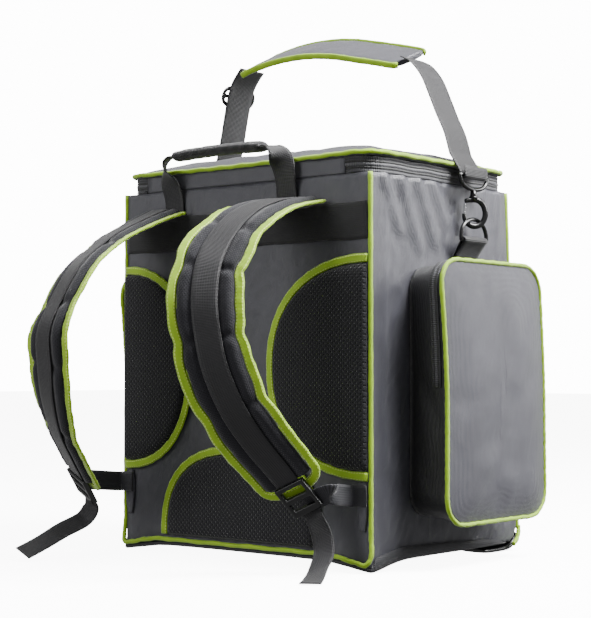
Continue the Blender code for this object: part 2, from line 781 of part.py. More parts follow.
def make_back_panel(finishes):
    half = BODY_WIDTH / 2 - SEAM_INSET
    y = -BODY_DEPTH / 2 - GAP - YOKE_THICKNESS / 2
    middle = YOKE_BOTTOM + YOKE_HEIGHT / 2
    line = [Vector((half * share, y, middle)) for share in (-1, -0.5, 0, 0.5, 1)]
    add_part(
        "yoke_band", sweep(line, [Vector((0, -1, 0))] * 5, flat_section(YOKE_HEIGHT, YOKE_THICKNESS)),
        finishes["webbing"],
    )
    for side, sign in SIDES.items():
        inner = HARNESS_SHIFT + sign * BACK_PAD_GAP / 2
        reach = half - sign * inner
        arch = half_arch(BACK_PAD_HEIGHT, reach, 2.25, 18)
        make_back_pad(
            f"back_pad_{side}",
            arch,
            lambda points, sign=sign: [(sign * (half - up), BACK_PAD_CENTRE + across) for across, up in points],
            finishes,
        )
    arch = half_arch(LOWER_PAD_WIDTH, LOWER_PAD_HEIGHT, 2.5, 18)
    make_back_pad(
        "back_pad_lower", arch, lambda points: [(across, LOWER_PAD_BASE + up) for across, up in points], finishes
    )


def make_grab_handle(finishes):
    back = -BODY_DEPTH / 2 - GAP - WEBBING_THICKNESS / 2
    foot = YOKE_BOTTOM + YOKE_HEIGHT + HANDLE_FOOT_GAP
    top = foot + HANDLE_RISE
    grip_y = back - HANDLE_REACH
    section = flat_section(HANDLE_WEBBING, WEBBING_THICKNESS)
    turns = (
        # along from the foot as a share of the grip's start, out, up, normal
        (0.0, 0.02, 0.00, (0.00, -1.0, 0.0)),
        (0.0, 0.10, 0.28, (0.00, -1.0, 0.1)),
        (-0.1, 0.44, 0.56, (0.10, -1.0, 0.3)),
        (-0.1, 0.80, 0.80, (0.45, -0.8, 0.5)),
        (0.2, 0.97, 0.95, (0.50, -0.4, 0.8)),
        (0.6, 1.00, 1.00, (0.20, -0.1, 1.0)),
        (1.0, 1.00, 1.00, (0.00, 0.0, 1.0)),
    )
    for side, sign in SIDES.items():
        line, normals = [], []
        for along, out, up, normal in turns:
            x = HARNESS_SHIFT + sign * HANDLE_SPAN * (0.5 - along * (0.5 - GRIP_SHARE))
            line.append(Vector((x, back - HANDLE_REACH * out, foot + HANDLE_RISE * up)))
            normals.append(Vector((sign * normal[0], normal[1], normal[2])))
        scales = [(1, 1)] * 3 + [(0.9, 1), (0.75, 1), (0.62, 1), (0.6, 1)]
        add_part(f"grab_leg_{side}", sweep(line, normals, section, scales), finishes["webbing"])
    half = HANDLE_SPAN * GRIP_SHARE - 2.5 * GAP
    line = [Vector((HARNESS_SHIFT + half * share, grip_y, top + GRIP_ARCH * (1 - share**2)))
            for share in (-1, -0.92, -0.5, 0, 0.5, 0.92, 1)]
    section = round_section(1.0, 10)
    scales = [(GRIP_WIDTH / 2 * k, GRIP_THICKNESS / 2 * k) for k in (0.85, 1, 1, 1.05, 1, 1, 0.85)]
    add_part("grab_grip", sweep(line, [Vector((0, 0, 1))] * 7, section, scales), finishes["black"])


def pad_section(half_width, half_thickness):
    """A pad's whole section from its half table, with a channel for the webbing."""
    right = [(a * half_width, b * half_thickness) for a, b in PAD_SECTION]
    top = [(-a, b) for a, b in reversed(right[1:])] + right
    return top + [(a, -b) for a, b in reversed(top)]


def strap_line(side, sign):
    """Centre line and normals of a shoulder strap."""
    root = -BODY_DEPTH / 2 - YOKE_THICKNESS - 2 * GAP
    line = []
    for drop, reach, spread, *_ in STRAP_LINES[side]:
        line.append(Vector((
            HARNESS_SHIFT + sign * STRAP_SPREAD * spread,
            root - STRAP_REACH[side] * reach,
            STRAP_TOP - STRAP_DROP * drop,
        )))
    normals = []
    count = len(line)
    for i, row in enumerate(STRAP_LINES[side]):
        along = (line[min(i + 1, count - 1)] - line[max(i - 1, 0)]).normalized()
        out = Vector((0, along.z, -along.y)).normalized()
        normals.append(Matrix.Rotation(-sign * math.radians(row[3]), 3, along) @ out)
    return line, normals


def make_shoulder_strap(side, sign, finishes):
    line, normals = strap_line(side, sign)
    count = len(line)
    scales = [(1.0, row[4]) for row in STRAP_LINES[side]]
    half, thick = STRAP_PAD_WIDTH / 2, STRAP_PAD_THICKNESS / 2
    add_part(f"shoulder_pad_{side}", sweep(line, normals, pad_section(half, thick), scales), finishes["black"])

    squares = frames(line, normals)
    reach = half + GAP * 2 + BINDING_WIDTH / 2
    edge = [line[i] + squares[i][0] * reach for i in range(count)]
    other = [line[i] - squares[i][0] * reach for i in range(count)]
    along = (line[-1] - line[-2]).normalized()
    side_way, out = squares[-1]
    turned = []
    for angle in (20, 45, 70, 90, 110, 135, 160):
        turn = math.radians(angle)
        turned.append(line[-1] + side_way * (reach * math.cos(turn)) + along * (reach * 0.42 * math.sin(turn)))
    loop = edge + turned + list(reversed(other))
    loop_normals = normals + [out] * len(turned) + list(reversed(normals))
    section = flat_section(BINDING_WIDTH, BINDING_THICKNESS)
    add_part(f"shoulder_binding_{side}", sweep(loop, loop_normals, section), finishes["lime"])

    lift = thick * PAD_SECTION[0][1] + GAP * 5 + WEBBING_THICKNESS / 2
    webbing = [line[i] + normals[i] * lift for i in range(count)]
    webbing[0] = webbing[0].lerp(webbing[1], 0.15)
    add_part(
        f"shoulder_webbing_{side}", sweep(webbing, normals, strip_section(STRAP_WEBBING, WEBBING_THICKNESS)),
        finishes["webbing"],
    )
    make_adjuster(side, sign, webbing[-1], along, normals[-1], finishes)


def make_adjuster(side, sign, start, along, out, finishes):
    """A strap's ladder buckle, its hanging tail, and the webbing from it to the bag's lower corner."""
    across = along.cross(out).normalized()
    middle = start + along * (BUCKLE_LENGTH / 2 + GAP * 2)
    turn = Matrix((across, along, out)).transposed().to_4x4()
    turn.translation = middle
    buckle = windowed_plate(
        (-BUCKLE_WIDTH / 2, BUCKLE_BAR - BUCKLE_WIDTH / 2, BUCKLE_WIDTH / 2 - BUCKLE_BAR, BUCKLE_WIDTH / 2),
        (-0.50, -0.36, -0.10, 0.06, 0.30, 0.50),
        BUCKLE_LENGTH,
        ((1, 1), (1, 3)),
        BUCKLE_THICKNESS,
    )
    bmesh.ops.transform(buckle, matrix=turn, verts=buckle.verts)
    add_part(f"ladder_buckle_{side}", buckle, finishes["plastic"], 30)

    half = BODY_WIDTH / 2
    tab_y = -BODY_DEPTH / 2 - GAP - CORNER_TAB_THICKNESS / 2
    tab_x = sign * (half - SEAM_INSET - CORNER_TAB_WIDTH / 2)
    tab_top = BACK_PAD_CENTRE - BACK_PAD_HEIGHT / 2 - CORNER_TAB_CLEARANCE
    tab = [Vector((tab_x, tab_y, tab_top - CORNER_TAB_HEIGHT * share)) for share in (1, 0.7, 0.3, 0)]
    add_part(
        f"corner_tab_{side}",
        sweep(tab, [Vector((0, -1, 0))] * 4, flat_section(CORNER_TAB_WIDTH, CORNER_TAB_THICKNESS),
              [(0.5, 1), (0.85, 1), (1, 1), (0.7, 1)]),
        finishes["nylon"],
    )

    rest = middle - out * (BUCKLE_THICKNESS / 2 + WEBBING_THICKNESS / 2 + GAP * 2) + along * BUCKLE_LENGTH * 0.33
    outer_way = across if across.x * sign > 0 else -across
    entry = rest + outer_way * (BUCKLE_WIDTH / 2 + 0.010)
    inner_x, outer_x = half - SEAM_INSET - CORNER_TAB_WIDTH, half + 2 * GAP
    leave_x = inner_x if side == "right" else outer_x
    start_x = outer_x - 0.004 if side == "right" else inner_x + 0.001
    y = tab_y - CORNER_TAB_THICKNESS / 2 - WEBBING_THICKNESS / 2 - GAP * 3
    anchor = Vector((sign * start_x, y, tab_top - LOWER_WEBBING_DROP))
    leave = Vector((sign * leave_x, y, tab_top - LOWER_WEBBING_DROP))
    away = (leave - anchor).normalized()
    bend = leave + away * 0.004 + Vector((0, -0.006, 0))
    span = [anchor, leave, bend, bend.lerp(entry, 0.6), entry, rest]
    normals = []
    for i in range(len(span)):
        way = (span[min(i + 1, len(span) - 1)] - span[max(i - 1, 0)]).normalized()
        normals.append(Vector((0, 0, 1)).cross(way))
    out_sign = math.copysign(1, (rest - entry).normalized().cross(out).z)
    normals[-1] = out * out_sign
    normals[-2] = out * out_sign
    add_part(
        f"lower_webbing_{side}", sweep(span, normals, strip_section(ADJUSTER_WEBBING, WEBBING_THICKNESS)),
        finishes["webbing"],
    )

    base = middle + along * (BUCKLE_LENGTH / 2 + GAP * 3)
    line, normals = [base, base + along * 0.004], [out, out]
    for outward, rearward, height, *face in TAILS[side]:
        line.append(Vector((base.x + sign * outward, base.y - rearward, base.z * height - FOOT_DROP * (1 - height))))
        normals.append(Vector((sign * face[0], face[1], face[2])))
    add_part(
        f"adjuster_tail_{side}", sweep(line, normals, strip_section(ADJUSTER_WEBBING, WEBBING_THICKNESS)),
        finishes["webbing"],
    )


# Loose tails of the adjusters, down from the buckle: outward and rearward run, height as a share of the
# buckle's height over the floor, and the way the webbing's face looks
TAILS = {
    "right": (
        # outward, rearward, height, face outward, face forward, face up
        (0.003, -0.005, 0.88, 0.2, -1.0, -0.4),
        (0.010, -0.008, 0.62, 0.4, -1.0, 0.0),
        (0.018, -0.002, 0.36, 0.4, -1.0, 0.3),
        (0.026, 0.018, 0.15, 0.1, -0.7, 0.8),
        (0.040, 0.044, 0.045, 0.0, -0.2, 1.0),
        (0.055, 0.068, 0.030, 0.0, 0.0, 1.0),
    ),
    "left": (
        # outward, rearward, height, face outward, face forward, face up
        (0.001, -0.006, 0.82, -0.1, -1.0, -0.5),
        (0.004, 0.004, 0.62, -0.3, -0.9, 0.2),
        (0.007, 0.036, 0.46, -0.5, -0.6, 0.6),
        (0.009, 0.068, 0.28, -0.5, -0.4, 0.8),
        (0.010, 0.098, 0.14, -0.5, -0.3, 0.8),
    ),
}


def windowed_plate(columns, rows, length, windows, thickness):
    """A flat plate cut by a grid, with some cells left open as windows through it."""
    shape = bmesh.new()
    grid = [[shape.verts.new((x, y * length, -thickness / 2)) for x in columns] for y in rows]
    for j in range(len(rows) - 1):
        for i in range(len(columns) - 1):
            if (i, j) not in windows:
                shape.faces.new((grid[j][i], grid[j][i + 1], grid[j + 1][i + 1], grid[j + 1][i]))
    grown = bmesh.ops.extrude_face_region(shape, geom=list(shape.faces), use_keep_orig=True)
    raised = [item for item in grown["geom"] if isinstance(item, bmesh.types.BMVert)]
    bmesh.ops.translate(shape, verts=raised, vec=(0, 0, thickness))
    return shape


def carry_points(table):
    """Places of the carry strap's centre line from one of its tables."""
    half = BODY_WIDTH / 2
    return [Vector((half * x, CARRY_MIDDLE, HOOK_BAR_LEVEL + CARRY_RISE * z)) for x, z in table]


def across_normals(line, tilt=0.0):
    """Normals of a strap that runs in X and Z, outward over the bag, tilted towards the back."""
    normals = []
    count = len(line)
    for i in range(count):
        along = (line[min(i + 1, count - 1)] - line[max(i - 1, 0)]).normalized()
        out = Vector((-along.z, 0, along.x)).normalized()
        if out.z < 0 or (abs(out.z) < 0.3 and out.x * line[i].x < 0):
            out = -out
        normals.append(Matrix.Rotation(math.radians(tilt), 3, (1, 0, 0)) @ out)
    return normals


def make_carry_pad(finishes):
    line = smooth_line(carry_points(CARRY_TOP), 2)
    normals = across_normals(line, CARRY_TILT)
    half, thick = CARRY_PAD_WIDTH / 2, CARRY_PAD_THICKNESS / 2
    section = [(a * half, b * thick) for a, b in ((1, -0.3), (1, 0.3), (0.8, 0.85), (0, 1), (-0.8, 0.85),
                                                   (-1, 0.3), (-1, -0.3), (-0.8, -0.85), (0, -1), (0.8, -0.85))]
    count = len(line)
    scales = [(0.82 if i in (0, count - 1) else 1.0, 1.0) for i in range(count)]
    add_part("carry_pad", sweep(line, normals, section, scales), finishes["nylon"])
    squares = frames(line, normals)
    for name, way in (("carry_binding_rear", -1), ("carry_binding_front", 1)):
        reach = way * (half + GAP * 2 + BINDING_THICKNESS / 2)
        edge = [line[i] + squares[i][0] * reach * (1 if 0 < i < count - 1 else 0.84) for i in range(count)]
        add_part(
            name, sweep(edge, normals, round_section(1.0), [(BINDING_THICKNESS / 2, thick)] * count), finishes["lime"]
        )


def make_carry_webbing(side, sign, table, finishes):
    """One leg of the carry strap, folded round its hook's bar."""
    line = smooth_line(carry_points(table), 2)
    if side == "left":
        line.reverse()
    bar = Vector((hook_middle(sign).x, CARRY_MIDDLE, HOOK_BAR_LEVEL))
    turn_radius = HOOK_WIRE + 2 * GAP + WEBBING_THICKNESS / 2
    path = [bar + Vector((sign * 0.9, 0, 2.8)) * turn_radius]
    for angle in (10, -30, -70, -110, -150, -190):
        turn = math.radians(angle)
        path.append(bar + Vector((sign * math.cos(turn), 0, math.sin(turn))) * turn_radius)
    path += [bar + Vector((-sign * 1.1, 0, 1.6)) * turn_radius] + line[2:]
    normals = []
    count = len(path)
    for i in range(count):
        along = (path[min(i + 1, count - 1)] - path[max(i - 1, 0)]).normalized()
        normals.append(along.cross(Vector((0, 1, 0))))
    add_part(
        f"carry_webbing_{side}", sweep(path, normals, strip_section(CARRY_WEBBING, WEBBING_THICKNESS)),
        finishes["webbing"],
    )
    return line


def hook_middle(sign):
    """Plan place of a hook's swivel, clear of the side panel and its folds."""
    return Vector((sign * (BODY_WIDTH / 2 + RING_STAND), CARRY_MIDDLE, 0))


def make_hook(side, sign, finishes):
    """A snap hook: the bar loop for the webbing, a swivel post, the hook and its sprung gate."""
    middle = hook_middle(sign)
    half = CARRY_WEBBING / 2 + HOOK_WIRE + 7 * GAP
    level = HOOK_BAR_LEVEL
    loop = [Vector((middle.x, CARRY_MIDDLE + half * share, level)) for share in (-0.97, -0.5, 0, 0.5, 0.97)]
    loop += [Vector((middle.x, CARRY_MIDDLE + half * math.cos(a), level - HOOK_LOOP * math.sin(a) ** 0.8))
             for a in (math.radians(k) for k in (12, 35, 62, 90, 118, 145, 168))]
    ring = add_part(
        f"snap_hook_{side}",
        sweep(loop, [Vector((sign, 0, 0))] * len(loop), round_section(HOOK_WIRE, 6), closed=True),
        finishes["plastic"],
    )
    top = level - HOOK_LOOP
    low = top - HOOK_POST
    post = bmesh.new()
    bmesh.ops.create_cone(
        post, cap_ends=True, segments=12, radius1=HOOK_POST_RADIUS, radius2=HOOK_SPINE, depth=HOOK_POST + 3 * GAP,
        matrix=Matrix.Translation((middle.x, CARRY_MIDDLE, (top + low) / 2)),
    )
    post = add_part(f"hook_post_{side}", post, finishes["plastic"])

    across = Vector((sign * math.sin(math.radians(HOOK_TURN)), math.cos(math.radians(HOOK_TURN)), 0))
    out = across.cross(Vector((0, 0, 1)))
    foot = Vector((middle.x, CARRY_MIDDLE, low + 0.0015 - HOOK_HEIGHT))
    line = [foot + across * (HOOK_WIDTH * u) + Vector((0, 0, HOOK_HEIGHT * v)) for u, v, _ in HOOK_LINE]
    scales = [(k, k) for *_, k in HOOK_LINE]
    line = smooth_line(line, 2)
    scales = [scales[0]] + [scales[min((i + 1) // 2, len(scales) - 1)] for i in range(1, len(line))]
    claw = sweep(line, [out] * len(line), round_section(HOOK_SPINE, 6), scales)
    claw = add_part(f"hook_claw_{side}", claw, finishes["plastic"])
    join_parts(ring, post, claw)

    shoulder, nose = line[0], line[-1]
    pivot = shoulder - Vector((0, 0, HOOK_SPINE * 0.75 + GATE_RADIUS + GAP * 2)) - across * 0.0004
    tip = nose + Vector((0, 0, GAP * 2)) + across * 0.0004
    gate = [Vector(), (tip - pivot) * 0.5, tip - pivot]
    gate.insert(0, (pivot - tip).normalized() * GATE_RADIUS)
    part = add_part(
        f"hook_gate_{side}",
        sweep(gate, [out] * 4, round_section(GATE_RADIUS, 8), [(0.75, 0.75), (1, 1), (0.9, 0.9), (0.9, 0.9)]),
        finishes["steel"],
    )
    part.location = pivot
    make_ring(side, sign, foot.z + HOOK_SPINE + 7 * GAP + RING_WIRE, finishes)


def make_ring(side, sign, arc_level, finishes):
    """The D-ring that a hook holds, and its webbing tab on the side panel."""
    x = hook_middle(sign).x
    half = CARRY_WEBBING / 2 + RING_WIRE + 2 * GAP
    bar = arc_level - RING_HEIGHT
    loop = [Vector((x, CARRY_MIDDLE + half * share, bar)) for share in (0.95, 0.5, 0, -0.5, -0.95)]
    loop += [Vector((x, CARRY_MIDDLE - half * math.cos(a), bar + RING_HEIGHT * math.sin(a) ** 0.8))
             for a in (math.radians(k) for k in (14, 38, 64, 90, 116, 142, 166))]
    add_part(
        f"d_ring_{side}",
        sweep(loop, [Vector((sign, 0, 0))] * len(loop), round_section(RING_WIRE, 8), closed=True),
        finishes["plastic"],
    )
    wrap = RING_WIRE + GAP + WEBBING_THICKNESS / 2
    skin = BODY_WIDTH / 2 + GAP * 2 + WEBBING_THICKNESS / 2
    base = bar - TAB_DROP
    path = [Vector((sign * skin, CARRY_MIDDLE, base + TAB_DROP * share)) for share in (0, 0.30)]
    for angle in (200, 160, 120, 80, 40, 0, -40, -75):
        turn = math.radians(angle)
        path.append(Vector((x + sign * wrap * math.cos(turn), CARRY_MIDDLE, bar + wrap * math.sin(turn))))
    lift = WEBBING_THICKNESS + GAP * 2
    path.append(Vector((sign * (skin + lift * 2), CARRY_MIDDLE, base + TAB_DROP * 0.40)))
    path.append(Vector((sign * (skin + lift), CARRY_MIDDLE, base + TAB_DROP * 0.08)))
    normals = []
    count = len(path)
    for i in range(count):
        along = (path[min(i + 1, count - 1)] - path[max(i - 1, 0)]).normalized()
        normals.append(along.cross(Vector((0, 1, 0))))
    add_part(
        f"ring_tab_{side}", sweep(path, normals, strip_section(CARRY_WEBBING, WEBBING_THICKNESS)),
        finishes["webbing"],
    )


def make_slider(leg, finishes):
    """The oval slider on the left leg, lying on the webbing's outer face."""
    middle = leg[-4]
    along = (leg[-5] - leg[-3]).normalized()
    out = along.cross(Vector((0, 1, 0))).normalized()
    if out.x > 0:
        out = -out
    middle = middle + out * (WEBBING_THICKNESS / 2 + SLIDER_THICKNESS / 2 + GAP)
    loop = []
    for k in range(14):
        a = 2 * math.pi * k / 14
        y = math.copysign(abs(math.cos(a)) ** 0.6, math.cos(a)) * (SLIDER_WIDTH / 2)
        z = math.copysign(abs(math.sin(a)) ** 0.8, math.sin(a)) * (SLIDER_LENGTH / 2)
        loop.append(middle + Vector((0, y, 0)) + along * z)
    half = SLIDER_THICKNESS / 2
    frame = add_part(
        "strap_slider", sweep(loop, [out] * 14, round_section(half, 6), [(SLIDER_BAR / SLIDER_THICKNESS, 1)] * 14, True),
        finishes["plastic"],
    )
    bar = [middle + Vector((0, (SLIDER_WIDTH / 2) * share, 0)) for share in (-0.98, 0, 0.98)]
    bar = add_part("slider_bar", sweep(bar, [out] * 3, round_section(half * 0.9, 6)), finishes["plastic"])
    join_parts(frame, bar)


def main():
    clear_scene()
    finishes = make_finishes()
    make_body(finishes)
    make_base(finishes)
    make_seam_piping(finishes)
    make_lid(finishes)
    make_back_panel(finishes)
    make_grab_handle(finishes)
    make_carry_pad(finishes)
    legs = {"right": CARRY_RIGHT, "left": CARRY_LEFT}
    for side, sign in SIDES.items():
        make_pocket(side, sign, finishes)
        make_shoulder_strap(side, sign, finishes)
        make_hook(side, sign, finishes)
        leg = make_carry_webbing(side, sign, legs[side], finishes)
        if side == "left":
            make_slider(leg, finishes)


main()
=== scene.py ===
# Fishing backpack, the looks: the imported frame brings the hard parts, and the cloth is made here

import math

import bmesh
import bpy
from mathutils import Matrix, Vector, noise


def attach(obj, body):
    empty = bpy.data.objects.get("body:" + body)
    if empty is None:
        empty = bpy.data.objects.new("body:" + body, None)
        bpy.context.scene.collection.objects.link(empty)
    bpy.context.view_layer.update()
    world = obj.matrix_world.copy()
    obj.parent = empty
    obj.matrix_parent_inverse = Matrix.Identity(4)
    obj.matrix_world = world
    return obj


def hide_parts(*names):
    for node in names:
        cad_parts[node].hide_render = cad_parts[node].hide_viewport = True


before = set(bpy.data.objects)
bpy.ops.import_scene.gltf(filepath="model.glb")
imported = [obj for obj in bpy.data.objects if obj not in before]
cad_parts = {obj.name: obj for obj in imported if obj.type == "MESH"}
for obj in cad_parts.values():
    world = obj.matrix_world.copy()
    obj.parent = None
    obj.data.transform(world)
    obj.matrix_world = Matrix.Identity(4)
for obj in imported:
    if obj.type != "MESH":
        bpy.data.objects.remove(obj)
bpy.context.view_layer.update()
print("frame loaded")

gap = 0.0003
sides = {"left": -1, "right": 1}
bag = {
    "width": 0.400,
    "depth": 0.320,
    "height": 0.451,
    "lean": 0.025,
    "rearCorner": 0.006,
    "frontCorner": 0.012,
    "toe": 0.028,
    "harnessShift": -0.017,
}
halfWidth, halfDepth = bag["width"] / 2, bag["depth"] / 2
seamInset = 0.0032  # cloth that is sewn in at the corners keeps this far from the bag's edges


# ---- helpers for nodes and colours

def linearColour(hexColour):
    parts = [int(hexColour[i:i + 2], 16) / 255 for i in (1, 3, 5)]
    return (*[p / 12.92 if p <= 0.04045 else ((p + 0.055) / 1.055) ** 2.4 for p in parts], 1.0)


def addNode(tree, kind, settings=None, inputs=None, output=0):
    # an input is a number, a hex colour or the socket that feeds it
    node = tree.nodes.new("ShaderNode" + kind)
    for key, value in (settings or {}).items():
        setattr(node, key, value)
    for key, value in (inputs or {}).items():
        if isinstance(value, bpy.types.NodeSocket):
            tree.links.new(value, node.inputs[key])
        else:
            node.inputs[key].default_value = linearColour(value) if isinstance(value, str) else value
    return node.outputs[output]


def startMaterial(name, roughness, sheen=0.0, specular=0.5, metallic=0.0):
    material = bpy.data.materials.new(name)
    material.use_nodes = True
    inputs = material.node_tree.nodes["Principled BSDF"].inputs
    inputs["Roughness"].default_value = roughness
    inputs["Sheen Weight"].default_value = sheen
    inputs["Sheen Roughness"].default_value = 0.4
    inputs["Specular IOR Level"].default_value = specular
    inputs["Metallic"].default_value = metallic
    return material, material.node_tree


def finishMaterial(material, colour, height, reliefMm, strength):
    tree = material.node_tree
    inputs = tree.nodes["Principled BSDF"].inputs
    tree.links.new(colour, inputs["Base Color"])
    relief = {"Height": height, "Distance": reliefMm / 1000, "Strength": strength}
    tree.links.new(addNode(tree, "Bump", None, relief), inputs["Normal"])
    return material


def runCoordinates(tree):
    # across, along and 0 in metres, as the sweeps store them
    across = addNode(tree, "Attribute", {"attribute_name": "across"}, None, "Fac")
    along = addNode(tree, "Attribute", {"attribute_name": "along"}, None, "Fac")
    return addNode(tree, "CombineXYZ", None, {"X": across, "Y": along})


def weave(tree, place, pitches, operation="ADD"):
    # threads in each direction, joined by one operation; a wave's bands are 314.16 mm apart at scale 1
    cloth = None
    for direction, pitchMm in pitches.items():
        inputs = {"Vector": place, "Scale": 314.16 / pitchMm, "Detail": 1.0}
        threads = addNode(tree, "TexWave", {"bands_direction": direction}, inputs, "Fac")
        if cloth is None:
            cloth = threads
        else:
            cloth = addNode(tree, "Math", {"operation": operation}, {0: cloth, 1: threads})
    return cloth


# ---- materials

def makeCoatedNylon():
    # 420 denier nylon, dyed gray and coated: satin, so folds catch a broad soft light; its weave is drawn
    # at 1.2 mm, coarser than the real one, so that it shows
    look = {"dark": "#303036", "light": "#3f3f47", "darkerGusset": "#131316", "weaveMm": 1.2, "crinkleMm": 0.5}
    material, tree = startMaterial("coatedNylon", 0.36, 0.15)
    place = addNode(tree, "TexCoord", output="Object")
    cloud = addNode(tree, "TexNoise", None, {"Vector": place, "Scale": 14.0, "Detail": 3.0}, "Fac")
    face = addNode(tree, "Mix", {"data_type": "RGBA"}, {0: cloud, 6: look["dark"], 7: look["light"]}, 2)
    # the pocket's gusset walls are coloured darker than the rest of the cloth
    gusset = addNode(tree, "Attribute", {"attribute_name": "gusset"}, None, "Fac")
    colour = addNode(tree, "Mix", {"data_type": "RGBA"}, {0: gusset, 6: face, 7: look["darkerGusset"]}, 2)
    crinkle = addNode(tree, "TexNoise", None, {"Vector": place, "Scale": 90.0, "Detail": 4.0}, "Fac")
    threads = weave(tree, place, {axis: look["weaveMm"] for axis in "XZY"})
    height = addNode(tree, "Math", {"operation": "MULTIPLY_ADD"}, {0: crinkle, 1: 2.5, 2: threads})
    return finishMaterial(material, colour, height, look["crinkleMm"], 0.35)


def makeSpacerMesh(name, source, cellMm, look):
    # knitted polyester spacer mesh: matt black with rows of small open cells, painted darker than the yarn as
    # the shade inside them
    material, tree = startMaterial(name, 0.78, 0.25, 0.25)
    if source == "run":
        place, second, turn = runCoordinates(tree), "Y", (0, 0, math.radians(45))
    else:
        place, second, turn = addNode(tree, "TexCoord", output="Object"), "Z", (0, math.radians(45), 0)
    turned = addNode(tree, "Mapping", None, {"Vector": place, "Rotation": turn})
    cells = weave(tree, turned, {"X": cellMm, second: cellMm}, "MULTIPLY")
    holes = addNode(tree, "MapRange", None, {"Value": cells, "From Min": 0.35, "From Max": 0.75})
    # the open cells take the darker hole colour: painted shade inside each cell
    colour = addNode(tree, "Mix", {"data_type": "RGBA"}, {0: holes, 6: look["yarn"], 7: look["holeShade"]}, 2)
    yarn = addNode(tree, "Math", {"operation": "SUBTRACT"}, {0: 1.0, 1: holes})
    return finishMaterial(material, colour, yarn, look["depthMm"], 0.8)


def makeWebbing(name, look):
    # woven nylon webbing with ribs that run across it, their crests painted lighter and their hollows darker
    # as painted shine and shade
    # besides the real sheen: the real ones are 0.8 mm apart, and these are coarser so that they show
    material, tree = startMaterial(name, look["rough"], 0.2, 0.4)
    place = runCoordinates(tree)
    ribs = weave(tree, place, {"Y": look["ribMm"]})
    cords = weave(tree, place, {"X": look["ribMm"] * 1.6})
    low = addNode(tree, "Math", {"operation": "MULTIPLY"}, {0: cords, 1: 0.5})
    height = addNode(tree, "Math", {"operation": "MULTIPLY_ADD"}, {0: ribs, 1: 1.0, 2: low})
    # painted highlight on each rib's crest and painted shade in its hollow
    colour = addNode(tree, "Mix", {"data_type": "RGBA"}, {0: ribs, 6: look["dark"], 7: look["light"]}, 2)
    return finishMaterial(material, colour, height, 0.5, 0.6)


def makeBinding(name, stitched):
    # polyester binding tape, lime: a fine crosswise rib, pale stitches near each edge, and a colour that is
    # lighter where the same noise raises the surface
    look = {"dark": "#6f9406", "light": "#9cc014", "stitch": "#c3d86a", "ribMm": 1.5, "stitchMm": 4.0}
    material, tree = startMaterial(name, 0.55, 0.3, 0.35)
    place = runCoordinates(tree)
    solid = addNode(tree, "TexCoord", output="Object")
    soft = addNode(tree, "TexNoise", None, {"Vector": solid, "Scale": 60.0, "Detail": 3.0}, "Fac")
    colour = addNode(tree, "Mix", {"data_type": "RGBA"}, {0: soft, 6: look["dark"], 7: look["light"]}, 2)
    if stitched:
        across = addNode(tree, "SeparateXYZ", None, {0: place}, "X")
        offset = addNode(tree, "Math", {"operation": "ABSOLUTE"}, {0: across})
        near = addNode(tree, "Math", {"operation": "COMPARE"}, {0: offset, 1: 0.0036, 2: 0.0005})
        pitch = weave(tree, place, {"Y": look["stitchMm"]})
        dash = addNode(tree, "Math", {"operation": "GREATER_THAN"}, {0: pitch, 1: 0.35})
        sewn = addNode(tree, "Math", {"operation": "MULTIPLY"}, {0: near, 1: dash})
        colour = addNode(tree, "Mix", {"data_type": "RGBA"}, {0: sewn, 6: colour, 7: look["stitch"]}, 2)
    ribs = weave(tree, place, {"Y": look["ribMm"]})
    height = addNode(tree, "Math", {"operation": "MULTIPLY_ADD"}, {0: soft, 1: 2.0, 2: ribs})
    return finishMaterial(material, colour, height, 0.35, 0.5)


def makeZipTape():
    # nylon coil zip: black woven tape with gray ribbed edges, and a coil of teeth 2.2 mm apart, each tooth's
    # crest painted lighter gray as a painted highlight
    # the coil colour is the painted highlight on the teeth's crests
    look = {"tape": "#0c0c0e", "edge": "#232328", "coil": "#55555a", "toothMm": 2.2}
    material, tree = startMaterial("zipTape", 0.5, 0.15, 0.45)
    place = runCoordinates(tree)
    across = addNode(tree, "SeparateXYZ", None, {0: place}, "X")
    offset = addNode(tree, "Math", {"operation": "ABSOLUTE"}, {0: across})
    coil = addNode(tree, "Math", {"operation": "LESS_THAN"}, {0: offset, 1: 0.0019})
    edge = addNode(tree, "Math", {"operation": "GREATER_THAN"}, {0: offset, 1: 0.0050})
    teeth = weave(tree, place, {"Y": look["toothMm"]})
    tape = addNode(tree, "Mix", {"data_type": "RGBA"}, {0: edge, 6: look["tape"], 7: look["edge"]}, 2)
    # painted highlight: the coil colour rises on each tooth's crest and falls back to the tape's black
    # between the teeth
    lit = addNode(tree, "Math", {"operation": "MULTIPLY"}, {0: coil, 1: teeth})
    colour = addNode(tree, "Mix", {"data_type": "RGBA"}, {0: lit, 6: tape, 7: look["coil"]}, 2)
    return finishMaterial(material, colour, teeth, 0.8, 0.5)


def makeCoarseBase():
    # 1680 denier base cloth: coarse square weave, dark gray, matt
    look = {"dark": "#0c0c0e", "light": "#26262a", "ribMm": 2.4}
    material, tree = startMaterial("coarseBaseCloth", 0.62, 0.2, 0.35)
    place = addNode(tree, "TexCoord", output="Object")
    ribs = weave(tree, place, {axis: look["ribMm"] for axis in "XZY"}, "MAXIMUM")
    colour = addNode(tree, "Mix", {"data_type": "RGBA"}, {0: ribs, 6: look["dark"], 7: look["light"]}, 2)
    return finishMaterial(material, colour, ribs, 0.6, 0.7)


def makeHardware(name, look):
    material, tree = startMaterial(name, look["rough"], metallic=look["metallic"])
    place = addNode(tree, "TexCoord", output="Object")
    grain = addNode(tree, "TexNoise", None, {"Vector": place, "Scale": look["scale"], "Detail": 2.0}, "Fac")
    colour = addNode(tree, "Mix", {"data_type": "RGBA"}, {0: grain, 6: look["dark"], 7: look["light"]}, 2)
    return finishMaterial(material, colour, grain, look["reliefMm"], 0.3)


